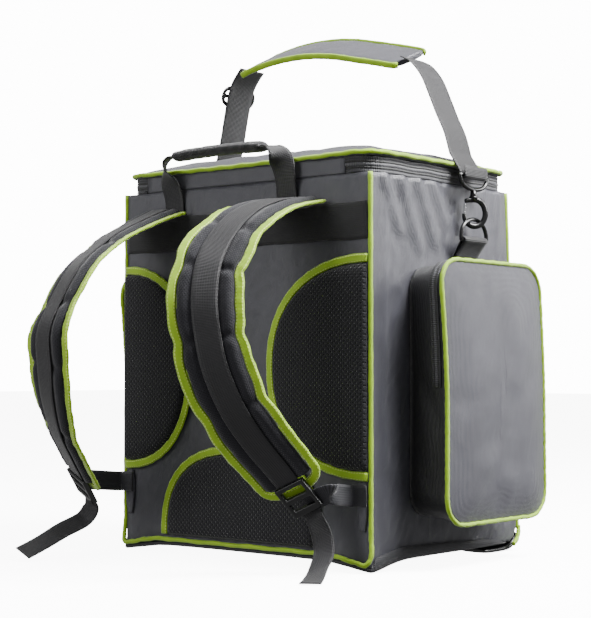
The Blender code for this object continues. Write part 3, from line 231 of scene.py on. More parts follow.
nylon = makeCoatedNylon()
# each mesh's hole colour is the painted shade in its open cells
padMesh = makeSpacerMesh("spacerMesh", "object", 4.6, {"yarn": "#1b1b1e", "holeShade": "#020203", "depthMm": 1.6})
strapMesh = makeSpacerMesh("strapMesh", "run", 2.6, {"yarn": "#1d1d22", "holeShade": "#0b0b0d", "depthMm": 0.5})
# each webbing's light colour is the painted shine on its rib crests, its dark colour the painted shade in the
# hollows
webbing = makeWebbing("blackWebbing", {"dark": "#050506", "light": "#1c1b1f", "rough": 0.5, "ribMm": 1.7})
grayWebbing = makeWebbing("grayWebbing", {"dark": "#101013", "light": "#303036", "rough": 0.55, "ribMm": 1.7})
yokeCloth = makeWebbing("yokeCloth", {"dark": "#070708", "light": "#17171a", "rough": 0.65, "ribMm": 1.4})
flatBinding = makeBinding("limeBinding", True)
roundPiping = makeBinding("limePiping", False)
zipTape = makeZipTape()
coarseBase = makeCoarseBase()
# injection moulded acetal, black: glossy with a faint grain
plastic = makeHardware("mouldedAcetal", {
    "dark": "#040405", "light": "#0a0a0b", "rough": 0.26, "metallic": 0.0, "scale": 900.0, "reliefMm": 0.05})
# polished steel wire: bright, with faint drawing marks
steel = makeHardware("polishedSteel", {
    "dark": "#b9babd", "light": "#e6e6e8", "rough": 0.22, "metallic": 1.0, "scale": 700.0, "reliefMm": 0.02})
print("materials made")


# ---- sweeps: a section is extruded from station to station along a run

def smoothRows(rows, steps, closed=False):
    # Catmull-Rom through every column at once
    count = len(rows)
    found = []
    for i in range(count if closed else count - 1):
        near = [j % count if closed else min(max(j, 0), count - 1) for j in range(i - 1, i + 3)]
        a, b, c, d = [rows[j] for j in near]
        for k in range(steps):
            t = k / steps
            found.append([
                (2 * q + (r - p) * t + (2 * p - 5 * q + 4 * r - s) * t * t
                 + (3 * q - p - 3 * r + s) * t ** 3) / 2
                for p, q, r, s in zip(a, b, c, d)
            ])
    if not closed:
        found.append(list(rows[-1]))
    return found


def headings(places):
    # the direction of travel at each place of an open run
    last = len(places) - 1
    return [(Vector(places[min(i + 1, last)][:3]) - Vector(places[max(i - 1, 0)][:3])).normalized()
            for i in range(last + 1)]


def placesAlong(rows, closed=False):
    # each row is x, y, z, three for the face's direction, and optional width and thickness factors
    count = len(rows)
    places, length = [], 0.0
    for i, row in enumerate(rows):
        here = Vector(row[:3])
        before = Vector(rows[i - 1][:3]) if closed or i else here
        after = Vector(rows[(i + 1) % count][:3]) if closed or i < count - 1 else here
        ahead = (after - before).normalized()
        side = ahead.cross(Vector(row[3:6])).normalized()
        out = side.cross(ahead).normalized()
        wide, thick = (row[6], row[7]) if len(row) > 6 else (1.0, 1.0)
        turn = Matrix((side, out, -ahead)).transposed().to_4x4() @ Matrix.Diagonal((wide, thick, 1.0, 1.0))
        turn.translation = here
        if i:
            length += (here - Vector(rows[i - 1][:3])).length
        places.append((turn, length))
    return places


def rimOf(grown):
    # the new corners of an extrusion, and the edges between them
    verts = {item for item in grown if isinstance(item, bmesh.types.BMVert)}
    edges = [item for item in grown if isinstance(item, bmesh.types.BMEdge) and set(item.verts) <= verts]
    return list(verts), edges


def sweepCloth(rows, section, closed=False):
    bm = bmesh.new()
    along = bm.verts.layers.float.new("along")
    across = bm.verts.layers.float.new("across")
    verts = []
    for a, b in section:
        vert = bm.verts.new((a, b, 0))
        vert[across] = a
        verts.append(vert)
    edges = [bm.edges.new((verts[i - 1], verts[i])) for i in range(len(verts))]
    first = list(edges)
    places = placesAlong(rows, closed)
    bmesh.ops.transform(bm, matrix=places[0][0], verts=verts)
    for k in range(1, len(places)):
        grown = bmesh.ops.extrude_edge_only(bm, edges=edges)["geom"]
        verts, edges = rimOf(grown)
        bmesh.ops.transform(bm, matrix=places[k][0] @ places[k - 1][0].inverted(), verts=verts)
        for vert in verts:
            vert[along] = places[k][1]
    if closed:
        bmesh.ops.bridge_loops(bm, edges=first + edges)
    else:
        bmesh.ops.holes_fill(bm, edges=first, sides=0)
        bmesh.ops.holes_fill(bm, edges=edges, sides=0)
    return bm


def roundSection(radius, points=12):
    return [(radius * math.cos(2 * math.pi * i / points), radius * math.sin(2 * math.pi * i / points))
            for i in range(points)]


def stripSection(width, thickness, columns=6):
    # a ribbon with rounded edges
    half, out = width / 2, thickness / 2
    top = [(-half + out + (width - thickness) * i / columns, out) for i in range(columns + 1)]
    return [(-half, 0)] + top + [(half, 0)] + [(a, -b) for a, b in reversed(top)]


def ruffle(bm, heightMm, sizeMm, seed):
    # a soft uneven surface, moved along the normals
    bm.normal_update()
    offset = Vector((seed * 7.3, seed * 3.1, seed * 1.7))
    for vert in bm.verts:
        value = noise.fractal(vert.co * (1000 / sizeMm) + offset, 1.0, 2.0, 3)
        vert.co += vert.normal * value * heightMm / 1000


def finishPiece(name, bm, material, nodes, levels=0, wall=0.0):
    bmesh.ops.recalc_face_normals(bm, faces=bm.faces)
    mesh = bpy.data.meshes.new(name)
    bm.to_mesh(mesh)
    bm.free()
    mesh.materials.append(material)
    mesh.shade_smooth()
    piece = bpy.data.objects.new(name, mesh)
    bpy.context.scene.collection.objects.link(piece)
    if wall:
        solid = piece.modifiers.new("wall", "SOLIDIFY")
        solid.thickness = wall
        solid.offset = -1
    if levels:
        smooth = piece.modifiers.new("smooth", "SUBSURF")
        smooth.levels = levels
        smooth.render_levels = levels
    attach(piece, "bag")
    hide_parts(*nodes)


def refinedCopy(name, node, material, levels=2, creaseAngle=40.0):
    # a copy of a CAD node, merged to quads, creased at its sharp edges and smoothed
    bm = bmesh.new()
    bm.from_mesh(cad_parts[node].data)
    bmesh.ops.transform(bm, matrix=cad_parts[node].matrix_world, verts=bm.verts)
    bmesh.ops.remove_doubles(bm, verts=bm.verts, dist=0.00002)
    bmesh.ops.join_triangles(
        bm, faces=bm.faces, angle_face_threshold=math.radians(30), angle_shape_threshold=math.radians(60)
    )
    crease = bm.edges.layers.float.new("crease_edge")
    bm.normal_update()
    for edge in bm.edges:
        if len(edge.link_faces) == 2 and edge.calc_face_angle(0.0) > math.radians(creaseAngle):
            edge[crease] = 0.7
    finishPiece(name, bm, material, [node], levels)


# ---- bag body

def frontFace(level):
    lean = bag["lean"] * level / bag["height"]
    under = max(bag["toe"] - level, 0.0)
    return halfDepth - lean - bag["toe"] + math.sqrt(max(bag["toe"] ** 2 - under ** 2, 0.0))


def cornerDip(x, y):
    near = max(1 - math.hypot(abs(x) - halfWidth, y + halfDepth) / 0.070, 0.0)
    return -0.0105 * near * (2 - near) * near


def outlineRing(bm, low, high, radii, spacing):
    # a rounded rectangle of edges from four corners: radii for the low and the high pair
    places = (low, (high[0], low[1]), high, (low[0], high[1]))
    corners = [bm.verts.new((x, y, 0)) for x, y in places]
    bm.faces.new(corners)
    for pair, radius in ((corners[:2], radii[0]), (corners[2:], radii[1])):
        bmesh.ops.bevel(
            bm, geom=pair, offset=radius, affect="VERTICES", segments=5, profile=0.5, material=-1
        )
    for edge in list(bm.edges):
        cuts = int(edge.calc_length() / spacing)
        if cuts:
            bmesh.ops.subdivide_edges(bm, edges=[edge], cuts=cuts)
    bmesh.ops.delete(bm, geom=list(bm.faces), context="FACES_ONLY")
    return list(bm.edges)


def extrudeRing(bm, edges, move=(0, 0, 0), scale=(1, 1, 1), centre=(0, 0, 0)):
    grown = bmesh.ops.extrude_edge_only(bm, edges=edges)["geom"]
    verts, ring = rimOf(grown)
    bmesh.ops.scale(bm, vec=scale, space=Matrix.Translation(-Vector(centre)), verts=verts)
    bmesh.ops.translate(bm, vec=move, verts=verts)
    return ring


bodyLook = {
    "spacing": 0.0055,
    "wall": 0.0022,
    "foldHeight": 0.0062,
    "folds": (
        # panel, start and end share along the top and down, low end, half width, height
        ("side", 0.07, 0.20, 0.84, 0.030, 0.8),
        ("side", 0.19, 0.33, 0.80, 0.032, 1.0),
        ("side", 0.31, 0.44, 0.82, 0.030, 0.9),
        ("side", 0.42, 0.52, 0.88, 0.028, 0.7),
        ("side", 0.80, 0.76, 0.86, 0.030, 0.7),
        ("side", 0.92, 0.88, 0.82, 0.030, 0.6),
        ("side", 0.08, 0.07, 0.05, 0.034, 0.5),
        ("front", 0.18, 0.26, 0.80, 0.040, 0.7),
        ("front", 0.80, 0.72, 0.82, 0.040, 0.7),
    ),
}


def foldHeight(panel, share, level):
    high = level / bag["height"]
    total = 0.0
    for foldPanel, start, end, low, width, height in bodyLook["folds"]:
        if foldPanel != panel or high < low:
            continue
        down = (1 - high) / (1 - low)
        away = (share - start - (end - start) * down) / width
        fade = math.sin(math.pi * max(1 - down, 0.0) ** 0.5 * 0.5)
        total += height * bodyLook["foldHeight"] * fade * math.exp(-away * away)
    return total


def clothDepth(panel, share, level, place):
    # wrinkles of the loose cloth, fading towards the seams at the corners
    edge = (min(share, 1 - share) - 0.028) / 0.05
    fade = min(max(edge, 0.0), 1.0) ** 0.7
    broad = noise.noise(Vector((share * 5 + 3, level * 16, 1.7)))
    slant = noise.noise(Vector((share * 22 - level * 30, level * 22 + share * 6, 5.1)))
    fine = noise.fractal(place * 55, 1.0, 2.0, 3)
    pucker = math.sin(share * 150 + 3 * broad) * math.exp(-(bag["height"] - level) / 0.010)
    if panel == "harness":
        value = -0.0030 * abs(broad) - 0.0026 * abs(slant) - 0.0008 * abs(fine) - 0.0006 * abs(pucker)
    elif panel == "front":
        value = 0.0030 * broad + 0.0022 * slant + 0.0006 * fine + 0.0007 * pucker
    else:
        value = -0.0022 * abs(broad) - 0.0024 * abs(slant) + 0.0004 * fine - 0.0008 * abs(pucker)
    return value * fade + foldHeight(panel, share, level) * min(edge, 1.0)


def makeBody():
    bm = bmesh.new()
    ring = outlineRing(
        bm, (-halfWidth, -halfDepth), (halfWidth, halfDepth),
        (bag["rearCorner"], bag["frontCorner"]), bodyLook["spacing"],
    )
    start, nearly = 0.0026, 0.00001
    bmesh.ops.translate(bm, vec=(0, 0, start), verts=bm.verts)
    bmesh.ops.holes_fill(bm, edges=ring, sides=0)
    levels = [0.006, 0.010, 0.014, 0.019, 0.024, 0.028]
    count = int((bag["height"] - 0.028) / bodyLook["spacing"])
    levels += [0.028 + (bag["height"] - 0.028) * i / count for i in range(1, count + 1)]
    for level in levels:
        ring = extrudeRing(bm, ring, (0, 0, level - start))
        start = level
    for vert in bm.verts:
        x, y, level = vert.co
        share = (y + halfDepth) / bag["depth"]
        if abs(y + halfDepth) < nearly:
            panel, out, share = "harness", Vector((0, -1, 0)), (x + halfWidth) / bag["width"]
        elif abs(y - halfDepth) < nearly:
            panel, out, share = "front", Vector((0, 1, 0)), (x + halfWidth) / bag["width"]
        elif abs(abs(x) - halfWidth) < nearly:
            panel, out = "side", Vector((math.copysign(1, x), 0, 0))
        else:
            panel, out, share = "corner", Vector(), 0.0
        sheared = (y + halfDepth) * (frontFace(level) + halfDepth) / bag["depth"] - halfDepth
        moved = Vector((x, sheared, level))
        fade = max(1 - level / 0.0525, 0.0) ** 2
        moved.z += (cornerDip(x, y) + 0.0015) * fade
        if panel != "corner":
            moved += out * clothDepth(panel, share, level, moved)
        vert.co = moved
    finishPiece("bagCloth", bm, nylon, ["body_shell"], wall=bodyLook["wall"])


makeBody()
refinedCopy("baseCloth", "base_tray", coarseBase, 1)
for side in sides:
    refinedCopy("foot" + side.title(), "foot_" + side, plastic, 2, 200)
print("body made")


# ---- pipings

def pipingRun(points, normals, closed=False, steps=6, pucker=0.00035):
    rows = smoothRows([[*p, *n] for p, n in zip(points, normals)], steps, closed)
    for i, row in enumerate(rows):
        wave = 1 + 0.07 * math.sin(i * 1.9) + 0.05 * math.sin(i * 0.77)
        row += [wave, wave]
        row[2] += pucker * math.sin(i * 0.9)
    return rows


seamPiping = {"radius": 0.0028, "low": 0.0093, "proud": 0.0023}


def makeSeamPiping():
    radius = seamPiping["radius"]
    edge = (bag["rearCorner"] + radius * 0.55) * math.sqrt(0.5) - bag["rearCorner"]
    half, rear = halfWidth + edge, -halfDepth - edge
    lowY, lowZ = -halfDepth - seamPiping["proud"] - radius * 0.6, seamPiping["low"]
    levels = (bag["height"], 0.40, 0.36, 0.30, 0.24, 0.18, 0.12, 0.08, 0.050, 0.030)
    points = [Vector((half, rear, level)) for level in levels]
    dip = cornerDip(halfWidth, -halfDepth)
    points.append(Vector((half + 0.0012, rear - 0.0012, lowZ + dip * 0.70 + 0.0105)))
    points.append(Vector((half - 0.0035, lowY, lowZ + dip * 0.92 + 0.0014)))
    for share in (0.90, 0.80, 0.68, 0.50, 0.25):
        x = halfWidth * share
        points.append(Vector((x, lowY, lowZ + cornerDip(x, -halfDepth))))
    points = points + [Vector((0, lowY, lowZ))] + [Vector((-p.x, p.y, p.z)) for p in reversed(points)]
    normals = [Vector((p.x * 0.2, -1, 0)) for p in points]
    bm = sweepCloth(pipingRun(points, normals), roundSection(radius))
    finishPiece("harnessPiping", bm, roundPiping, ["harness_piping"])
    edge = (bag["frontCorner"] + radius * 0.45) * math.sqrt(0.5) - bag["frontCorner"]
    middle = frontFace(bag["toe"]) - bag["toe"]
    for side, sign in sides.items():
        points, normals = [], []
        for level in (bag["height"], 0.36, 0.24, 0.12, bag["toe"]):
            points.append(Vector((sign * (halfWidth + edge), frontFace(level) + edge, level)))
            normals.append(Vector((0, 1, 0.01)))
        for angle in (20, 40, 60, 76):
            turn = math.radians(angle)
            out = edge + (radius + 3 * gap - edge) * math.sin(turn)
            points.append(Vector((
                sign * (halfWidth + out),
                middle + (bag["toe"] + out) * math.cos(turn),
                bag["toe"] - (bag["toe"] + out) * math.sin(turn) + 0.003,
            )))
            normals.append(Vector((0, math.cos(turn), -math.sin(turn))))
        bm = sweepCloth(pipingRun(points, normals), roundSection(radius))
        finishPiece("frontPiping" + side.title(), bm, roundPiping, ["front_piping_" + side])


makeSeamPiping()


# ---- lid, its zip band and piping

def roundedPath(low, high, radius, spacing):
    # places and outward directions round a rounded rectangle, from the low left corner
    found = []
    corners = ((low[0], low[1], 180), (high[0], low[1], 270), (high[0], high[1], 0), (low[0], high[1], 90))
    centres = [(x + (radius if x == low[0] else -radius), y + (radius if y == low[1] else -radius), a)
               for x, y, a in corners]
    turns = max(int(radius * math.pi / 2 / spacing), 4)
    for k, (x, y, start) in enumerate(centres):
        for i in range(turns + 1):
            angle = math.radians(start + 90 * i / turns)
            outX, outY = math.cos(angle), math.sin(angle)
            found.append((x + radius * outX, y + radius * outY, outX, outY))
        nextX, nextY, nextStart = centres[(k + 1) % 4]
        angle = math.radians(nextStart)
        endX, endY = nextX + radius * math.cos(angle), nextY + radius * math.sin(angle)
        startX, startY, outX, outY = found[-1]
        cuts = int(math.hypot(endX - startX, endY - startY) / spacing)
        for i in range(1, cuts):
            t = i / cuts
            found.append((startX + (endX - startX) * t, startY + (endY - startY) * t, outX, outY))
    return found


lidLook = {
    "inset": 0.0015,
    "corner": 0.028,
    "base": 0.4719,
    "rim": 0.4769,
    "crown": 0.024,
    "wall": 0.003,
    "sag": 0.004,
}


def lidSize():
    low = (-halfWidth + lidLook["inset"], -halfDepth + lidLook["inset"])
    return low, (-low[0], frontFace(bag["height"]) - lidLook["inset"])


def lidSag(x, y):
    # the edge hangs a little in the middle of the back and of the sides
    across = 1 - min(abs(x) / halfWidth, 1.0) ** 2
    rear = max(1 - (y + halfDepth) / 0.10, 0.0)
    return -lidLook["sag"] * across * rear * 0.6


def makeLid():
    bm = bmesh.new()
    low, high = lidSize()
    ring = outlineRing(bm, low, high, (lidLook["corner"], lidLook["corner"]), 0.007)
    bmesh.ops.translate(bm, vec=(0, 0, lidLook["base"]), verts=bm.verts)
    ring = extrudeRing(bm, ring, (0, 0, 0.0025))
    ring = extrudeRing(bm, ring, (0, 0, 0.0025))
    halfX, halfY = high[0], (high[1] - low[1]) / 2
    centre = (0, (high[1] + low[1]) / 2, 0)
    inset = 0.0
    reach = halfDepth - bag["lean"]
    lift = 0.0
    for nextInset in [0.003, 0.007, 0.012] + [0.018 + 0.0068 * i for i in range(19)]:
        scale = ((halfX - nextInset) / (halfX - inset), (halfY - nextInset) / (halfY - inset), 1)
        nextLift = lidLook["crown"] * (1 - (1 - min(nextInset / reach, 1.0)) ** 2.6)
        ring = extrudeRing(bm, ring, (0, 0, nextLift - lift), scale, centre)
        inset, lift = nextInset, nextLift
    bmesh.ops.holes_fill(bm, edges=ring, sides=0)
    for vert in bm.verts:
        x, y, z = vert.co
        near = min(halfX - abs(x), y - low[1], high[1] - y)
        broad = noise.noise(Vector((x * 9, y * 9, 2.0))) * min(max(near, 0) / 0.03, 1.0)
        ridge = noise.noise(Vector((x * 26 + y * 20, y * 30 - x * 8, 4.0))) * min(max(near, 0) / 0.02, 1.0)
        pucker = math.sin((x + y) * 420) * math.exp(-max(near, 0) / 0.008) * (1 if near > 0.0005 else 0)
        vert.co.z += 0.0022 * broad + 0.0018 * ridge + 0.0007 * pucker + lidSag(x, y)
    finishPiece("lidCloth", bm, nylon, ["lid"], wall=lidLook["wall"])

    radius = seamPiping["radius"]
    reach = radius + 2 * gap
    points, normals = [], []
    for x, y, outX, outY in roundedPath(low, high, lidLook["corner"], 0.020):
        points.append(Vector((x + outX * reach, y + outY * reach, lidLook["rim"] - 0.001 + lidSag(x, y))))
        normals.append(Vector((0, 0, 1)))
    bm = sweepCloth(pipingRun(points, normals, True, 4), roundSection(radius), True)
    finishPiece("lidPiping", bm, roundPiping, ["lid_piping"])


# half of the band's outer face in mm, from the middle of the zip: height from the middle, out
zipRidges = ((0.0, 1.5), (1.2, 1.2), (1.9, 0.5), (2.6, 0.45), (2.9, 0.9), (4.2, 0.9), (4.6, 0.4), (6.4, 0.35),
             (6.9, 0.9), (8.6, 1.0), (9.4, 0.6), (10.0, -0.2))


def ridgedSection(ridges, height, depth):
    upper = [(a / 1000 * height / 0.020, b / 1000) for a, b in ridges]
    outer = [(-a, b) for a, b in reversed(upper[1:])] + upper
    return outer + [(outer[-1][0], -depth), (0, -depth), (outer[0][0], -depth)]


def makeLidBand():
    low, high = lidSize()
    level = bag["height"] + gap + 0.010
    end = 0.162
    inset = 0.001
    loop = roundedPath((low[0] + inset, low[1] + inset), (high[0] - inset, high[1] - inset), 0.027, 0.008)
    start = next(i for i, row in enumerate(loop) if row[3] < -0.99 and row[0] > end)
    loop = loop[start:] + loop[:start]
    rows = [[end, loop[0][1], level, 0, -1, 0]]
    for x, y, outX, outY in loop:
        if outY < -0.99 and x < 0.0 and abs(x) < end:
            break
        rows.append([x, y, level, outX, outY, 0])
    rows = [row for row in rows if not (row[4] < -0.99 and abs(row[0]) < end)]
    rows.append([-end, rows[0][1], level, 0, -1, 0])
    for i, row in enumerate(rows):
        row[2] += 0.0004 * math.sin(i * 0.8)
        row += [1.0, 1.0]
    bm = sweepCloth(rows, ridgedSection(zipRidges, 0.020, 0.001))
    finishPiece("lidZip", bm, zipTape, ["lid_zip"])
    rows = []
    for i in range(41):
        x = (end - gap) * (i / 20 - 1)
        rows.append([x, low[1] + inset, level, 0, -1, 0, 1, 1])
    bm = sweepCloth(rows, stripSection(0.0198, 0.002, 8))
    ruffle(bm, 1.1, 26, 3)
    finishPiece("lidHinge", bm, nylon, ["lid_hinge"])
    refinedCopy("lidPull", "lid_zip_pull", plastic, 2)


makeLid()
makeLidBand()
print("lid made")


# ---- side pockets

pocketLook = {
    "depth": 0.062,
    "length": 0.190,
    "height": 0.296,
    "bottom": 0.050,
    "middle": 0.010,
    "flare": 0.012,
    "corner": 0.030,
    "crown": 0.008,
    "lean": 0.013,
    "wall": 0.0018,
    "zipDepth": 0.046,
    "zipEnd": 0.200,
    "insets": (0.0015, 0.004, 0.008, 0.013, 0.019, 0.026, 0.034, 0.042, 0.051, 0.060, 0.070, 0.080, 0.089),
}


def pocketPlace(u, v, depth):
    # a flat outline's point, with the pocket's flare, lean and pinch at that depth
    share = depth / pocketLook["depth"]
    flare = pocketLook["flare"] * share
    up = min(max(v / pocketLook["height"], 0.0), 1.0)
    y = pocketLook["middle"] + u * (1 + flare / (pocketLook["length"] / 2))
    y -= pocketLook["lean"] * share * max(up - 0.45, 0.0) ** 1.5 / 0.55 ** 1.5
    y -= 0.1 * pocketLook["lean"] * math.sin(math.pi * up) * u / (pocketLook["length"] / 2)
    z = pocketLook["bottom"] - flare * 0.5 + up * (pocketLook["height"] + flare * 0.85)
    return y, z


def makePocket(side, sign):
    bm = bmesh.new()
    half, height, depth = pocketLook["length"] / 2, pocketLook["height"], pocketLook["depth"]
    gusset = bm.verts.layers.float.new("gusset")
    ring = outlineRing(bm, (-half, 0), (half, height), (pocketLook["corner"], pocketLook["corner"]), 0.006)
    for i in range(10):
        ring = extrudeRing(bm, ring, (0, 0, depth / 10))
    inset, lift = 0.0, 0.0
    for nextInset in pocketLook["insets"]:
        scale = ((half - nextInset) / (half - inset), (height / 2 - nextInset) / (height / 2 - inset), 1)
        nextLift = pocketLook["crown"] * (1 - (1 - min(nextInset / 0.07, 1.0)) ** 2.4)
        ring = extrudeRing(bm, ring, (0, 0, nextLift - lift), scale, (0, height / 2, 0))
        inset, lift = nextInset, nextLift
    bmesh.ops.holes_fill(bm, edges=ring, sides=0)
    for vert in bm.verts:
        u, v, w = vert.co
        vert[gusset] = 1.0 if w < depth - 0.001 else 0.0
        y, z = pocketPlace(u, v, min(w, depth))
        place = Vector((sign * (halfWidth + gap + w), y, z))
        broad = noise.noise(Vector((y * 14 + sign, z * 11, 3.0)))
        ridge = noise.noise(Vector((y * 35 - z * 12, z * 30 + w * 60, 7.0)))
        near = min(half - abs(u), v, height - v)
        if w > depth:
            fade = min(max(near, 0) / 0.03, 1.0)
            pucker = math.sin((y + z) * 430) * math.exp(-max(near, 0) / 0.007) * min(near / 0.001, 1)
            place.x += sign * (0.0030 * broad * fade + 0.0014 * ridge * fade + 0.0006 * pucker)
        else:
            fade = math.sin(math.pi * min(max(w / depth, 0), 1))
            inwards = Vector((0, -u / half, -(v - height / 2) / (height / 2)))
            place += inwards.normalized() * fade * (0.0028 * abs(broad) + 0.0020 * abs(ridge))
        vert.co = place
    finishPiece("pocketCloth" + side.title(), bm, nylon, ["side_pocket_" + side], wall=pocketLook["wall"])

    radius = seamPiping["radius"] * 0.96
    reach = radius * 0.40
    points, normals = [], []
    for u, v, outU, outV in roundedPath((-half, 0), (half, height), pocketLook["corner"], 0.012):
        y, z = pocketPlace(u, v, depth)
        points.append(Vector((sign * (halfWidth + depth), y + outU * reach, z + outV * reach)))
        normals.append(Vector((sign, 0, 0)))
    bm = sweepCloth(pipingRun(points, normals, True, 4, 0.0002), roundSection(radius), True)
    finishPiece("pocketPiping" + side.title(), bm, roundPiping, ["pocket_piping_" + side])

    rows = []
    zipDepth = pocketLook["zipDepth"]
    loop = roundedPath((-half, 0), (half, height), pocketLook["corner"], 0.010)
    low = pocketLook["zipEnd"] - pocketLook["bottom"]
    start = next(i for i in range(len(loop)) if loop[i][1] > low and loop[i - 1][1] <= low)
    for row in loop[start:] + loop[:start]:
        u, v, outU, outV = row
        if v < low:
            break
        y, z = pocketPlace(u, v, zipDepth)
        slope = -0.19 * abs(outU) - 0.07 * abs(outV)
        rows.append([sign * (halfWidth + gap + zipDepth), y + outU * 0.0014, z + outV * 0.0014,
                     sign * slope, outU, outV, 1, 1])
    bm = sweepCloth(rows, ridgedSection(zipRidges, 0.014, 0.0004))
    finishPiece("pocketZip" + side.title(), bm, zipTape, ["pocket_zip_" + side])
    refinedCopy("pocketPull" + side.title(), "pocket_zip_pull_" + side, plastic, 2)


for side, sign in sides.items():
    makePocket(side, sign)
print("pockets made")


# ---- back panel: yoke band and mesh pads

backLook = {
    "thickness": 0.009,
    "centre": 0.2265,
    "height": 0.262,
    "apart": 0.122,
    "lowerWidth": 0.264,
    "lowerHeight": 0.114,
    "lowerBase": 0.0158,
    "bindingWidth": 0.011,
    "bindingThickness": 0.004,
}


def halfArch(width, height, sharpness, steps):
    points = []
    for i in range(steps + 1):
        turn = math.pi * (1 - i / steps)
        across = math.copysign(abs(math.cos(turn)) ** (2 / sharpness), math.cos(turn))
        points.append((across * width / 2, abs(math.sin(turn)) ** (2 / sharpness) * height))
    return points


def inward(points, distance):
    moved = []
    for i in range(len(points)):
        a, b = points[max(i - 1, 0)], points[min(i + 1, len(points) - 1)]
        run, rise = b[0] - a[0], b[1] - a[1]
        length = math.hypot(run, rise)
        moved.append((points[i][0] + rise / length * distance, points[i][1] - run / length * distance))
    return moved


def makeBackPad(name, node, arch, place):
    face = -halfDepth - gap
    width = backLook["bindingWidth"]
    bm = bmesh.new()
    outline = place(inward(arch, width + 2 * gap))
    verts = [bm.verts.new((x, face, z)) for x, z in outline]
    ring = [bm.edges.new((verts[i - 1], verts[i])) for i in range(len(verts))]
    for edge in list(ring):
        cuts = int(edge.calc_length() / 0.008)
        if cuts:
            bmesh.ops.subdivide_edges(bm, edges=[edge], cuts=cuts)
    ring = list(bm.edges)
    bmesh.ops.holes_fill(bm, edges=ring, sides=0)
    middle = sum((v.co for v in bm.verts), Vector()) / len(bm.verts)
    thick = backLook["thickness"]
    last, lift = 1.0, 0.0
    for share, high in ((1.0, 0.30), (0.992, 0.50), (0.975, 0.72), (0.95, 0.86), (0.91, 0.95), (0.84, 1.0),
                        (0.74, 1.03), (0.62, 1.05), (0.48, 1.06), (0.34, 1.06), (0.2, 1.06), (0.08, 1.06)):
        scale = share / last
        ring = extrudeRing(bm, ring, (0, -(high - lift) * thick, 0), (scale, 1, scale), middle)
        last, lift = share, high
    bmesh.ops.holes_fill(bm, edges=ring, sides=0)
    for vert in bm.verts:
        raised = min(max((face - vert.co.y) / thick, 0.0), 1.0)
        soft = noise.noise(Vector((vert.co.x * 30, vert.co.z * 30, 9.0)))
        vert.co.y -= 0.0008 * soft * raised
    finishPiece(name + "Pad", bm, padMesh, [node], 1)
    rows = []
    for x, z in place(inward(arch, width / 2)):
        rows.append([x, face - backLook["bindingThickness"] / 2, z, 0, -1, 0])
    for i, row in enumerate(rows):
        row += [1 + 0.05 * math.sin(i * 1.3), 1 + 0.12 * math.sin(i * 2.1)]
    bm = sweepCloth(rows, stripSection(width, backLook["bindingThickness"]))
    ruffle(bm, 0.35, 6, 5)
    finishPiece(name + "Binding", bm, flatBinding, [node.replace("pad", "binding")])


def makeBackPanel():
    half = halfWidth - seamInset
    rows = []
    for i in range(65):
        x = half * (i / 32 - 1)
        rows.append([x, -halfDepth - gap - 0.0009, 0.396 + 0.0006 * math.sin(i * 0.5), 0, -1, 0, 1, 1])
    bm = sweepCloth(rows, stripSection(0.044, 0.0018, 12))
    ruffle(bm, 0.35, 18, 8)
    finishPiece("yokeBand", bm, yokeCloth, ["yoke_band"])
    for side, sign in sides.items():
        reach = half - sign * (bag["harnessShift"] + sign * backLook["apart"] / 2)
        arch = halfArch(backLook["height"], reach, 2.25, 96)
        makeBackPad(
            "back" + side.title(), "back_pad_" + side, arch,
            lambda points, sign=sign: [(sign * (half - up), backLook["centre"] + a) for a, up in points],
        )
    arch = halfArch(backLook["lowerWidth"], backLook["lowerHeight"], 2.5, 96)
    makeBackPad(
        "backLower", "back_pad_lower", arch,
        lambda points: [(across, backLook["lowerBase"] + up) for across, up in points],
    )


makeBackPanel()
print("back panel made")


# ---- grab handle

handleLook = {
    "span": 0.186,
    "foot": 0.420,
    "rise": 0.0705,
    "reach": 0.019,
    "webbing": 0.032,
    "thickness": 0.0016,
    "gripWidth": 0.024,
    "gripShare": 0.40,
    "gripThickness": 0.014,
}
handleTurns = (
    # along from the foot to the grip, out, up, face direction, width
    (0.0, 0.02, 0.00, 0.00, -1.0, 0.0, 1.0),
    (0.0, 0.10, 0.28, 0.00, -1.0, 0.1, 1.0),
    (-0.1, 0.44, 0.56, 0.10, -1.0, 0.3, 1.0),
    (-0.1, 0.80, 0.80, 0.45, -0.8, 0.5, 0.90),
    (0.2, 0.97, 0.95, 0.50, -0.4, 0.8, 0.75),
    (0.6, 1.00, 1.00, 0.20, -0.1, 1.0, 0.62),
    (1.0, 1.00, 1.00, 0.00, 0.0, 1.0, 0.60),
)


def makeGrabHandle():
    back = -halfDepth - gap - handleLook["thickness"] / 2
    for side, sign in sides.items():
        rows = []
        for along, out, up, nx, ny, nz, wide in handleTurns:
            share = 0.5 - along * (0.5 - handleLook["gripShare"])
            rows.append([
                bag["harnessShift"] + sign * handleLook["span"] * share,
                back - handleLook["reach"] * out,
                handleLook["foot"] + handleLook["rise"] * up,
                sign * nx, ny, nz, wide, 1,
            ])
        bm = sweepCloth(smoothRows(rows, 6), stripSection(handleLook["webbing"], handleLook["thickness"]))
        finishPiece("grabLeg" + side.title(), bm, webbing, ["grab_leg_" + side])
    half = handleLook["span"] * handleLook["gripShare"] - 2.5 * gap
    rows = []
    for i in range(33):
        share = i / 16 - 1
        puff = 1.02 - 0.14 * abs(share) ** 10 + 0.03 * math.sin(i * 1.7)
        rows.append([
            bag["harnessShift"] + half * share, back - handleLook["reach"],
            handleLook["foot"] + handleLook["rise"] + 0.002 * (1 - share ** 2), 0, 0, 1,
            handleLook["gripWidth"] / 2 * puff, handleLook["gripThickness"] / 2 * puff,
        ])
    bm = sweepCloth(rows, roundSection(1.0, 20))
    ruffle(bm, 0.5, 10, 4)
    finishPiece("grabGrip", bm, webbing, ["grab_grip"], 1)


makeGrabHandle()


# ---- shoulder straps

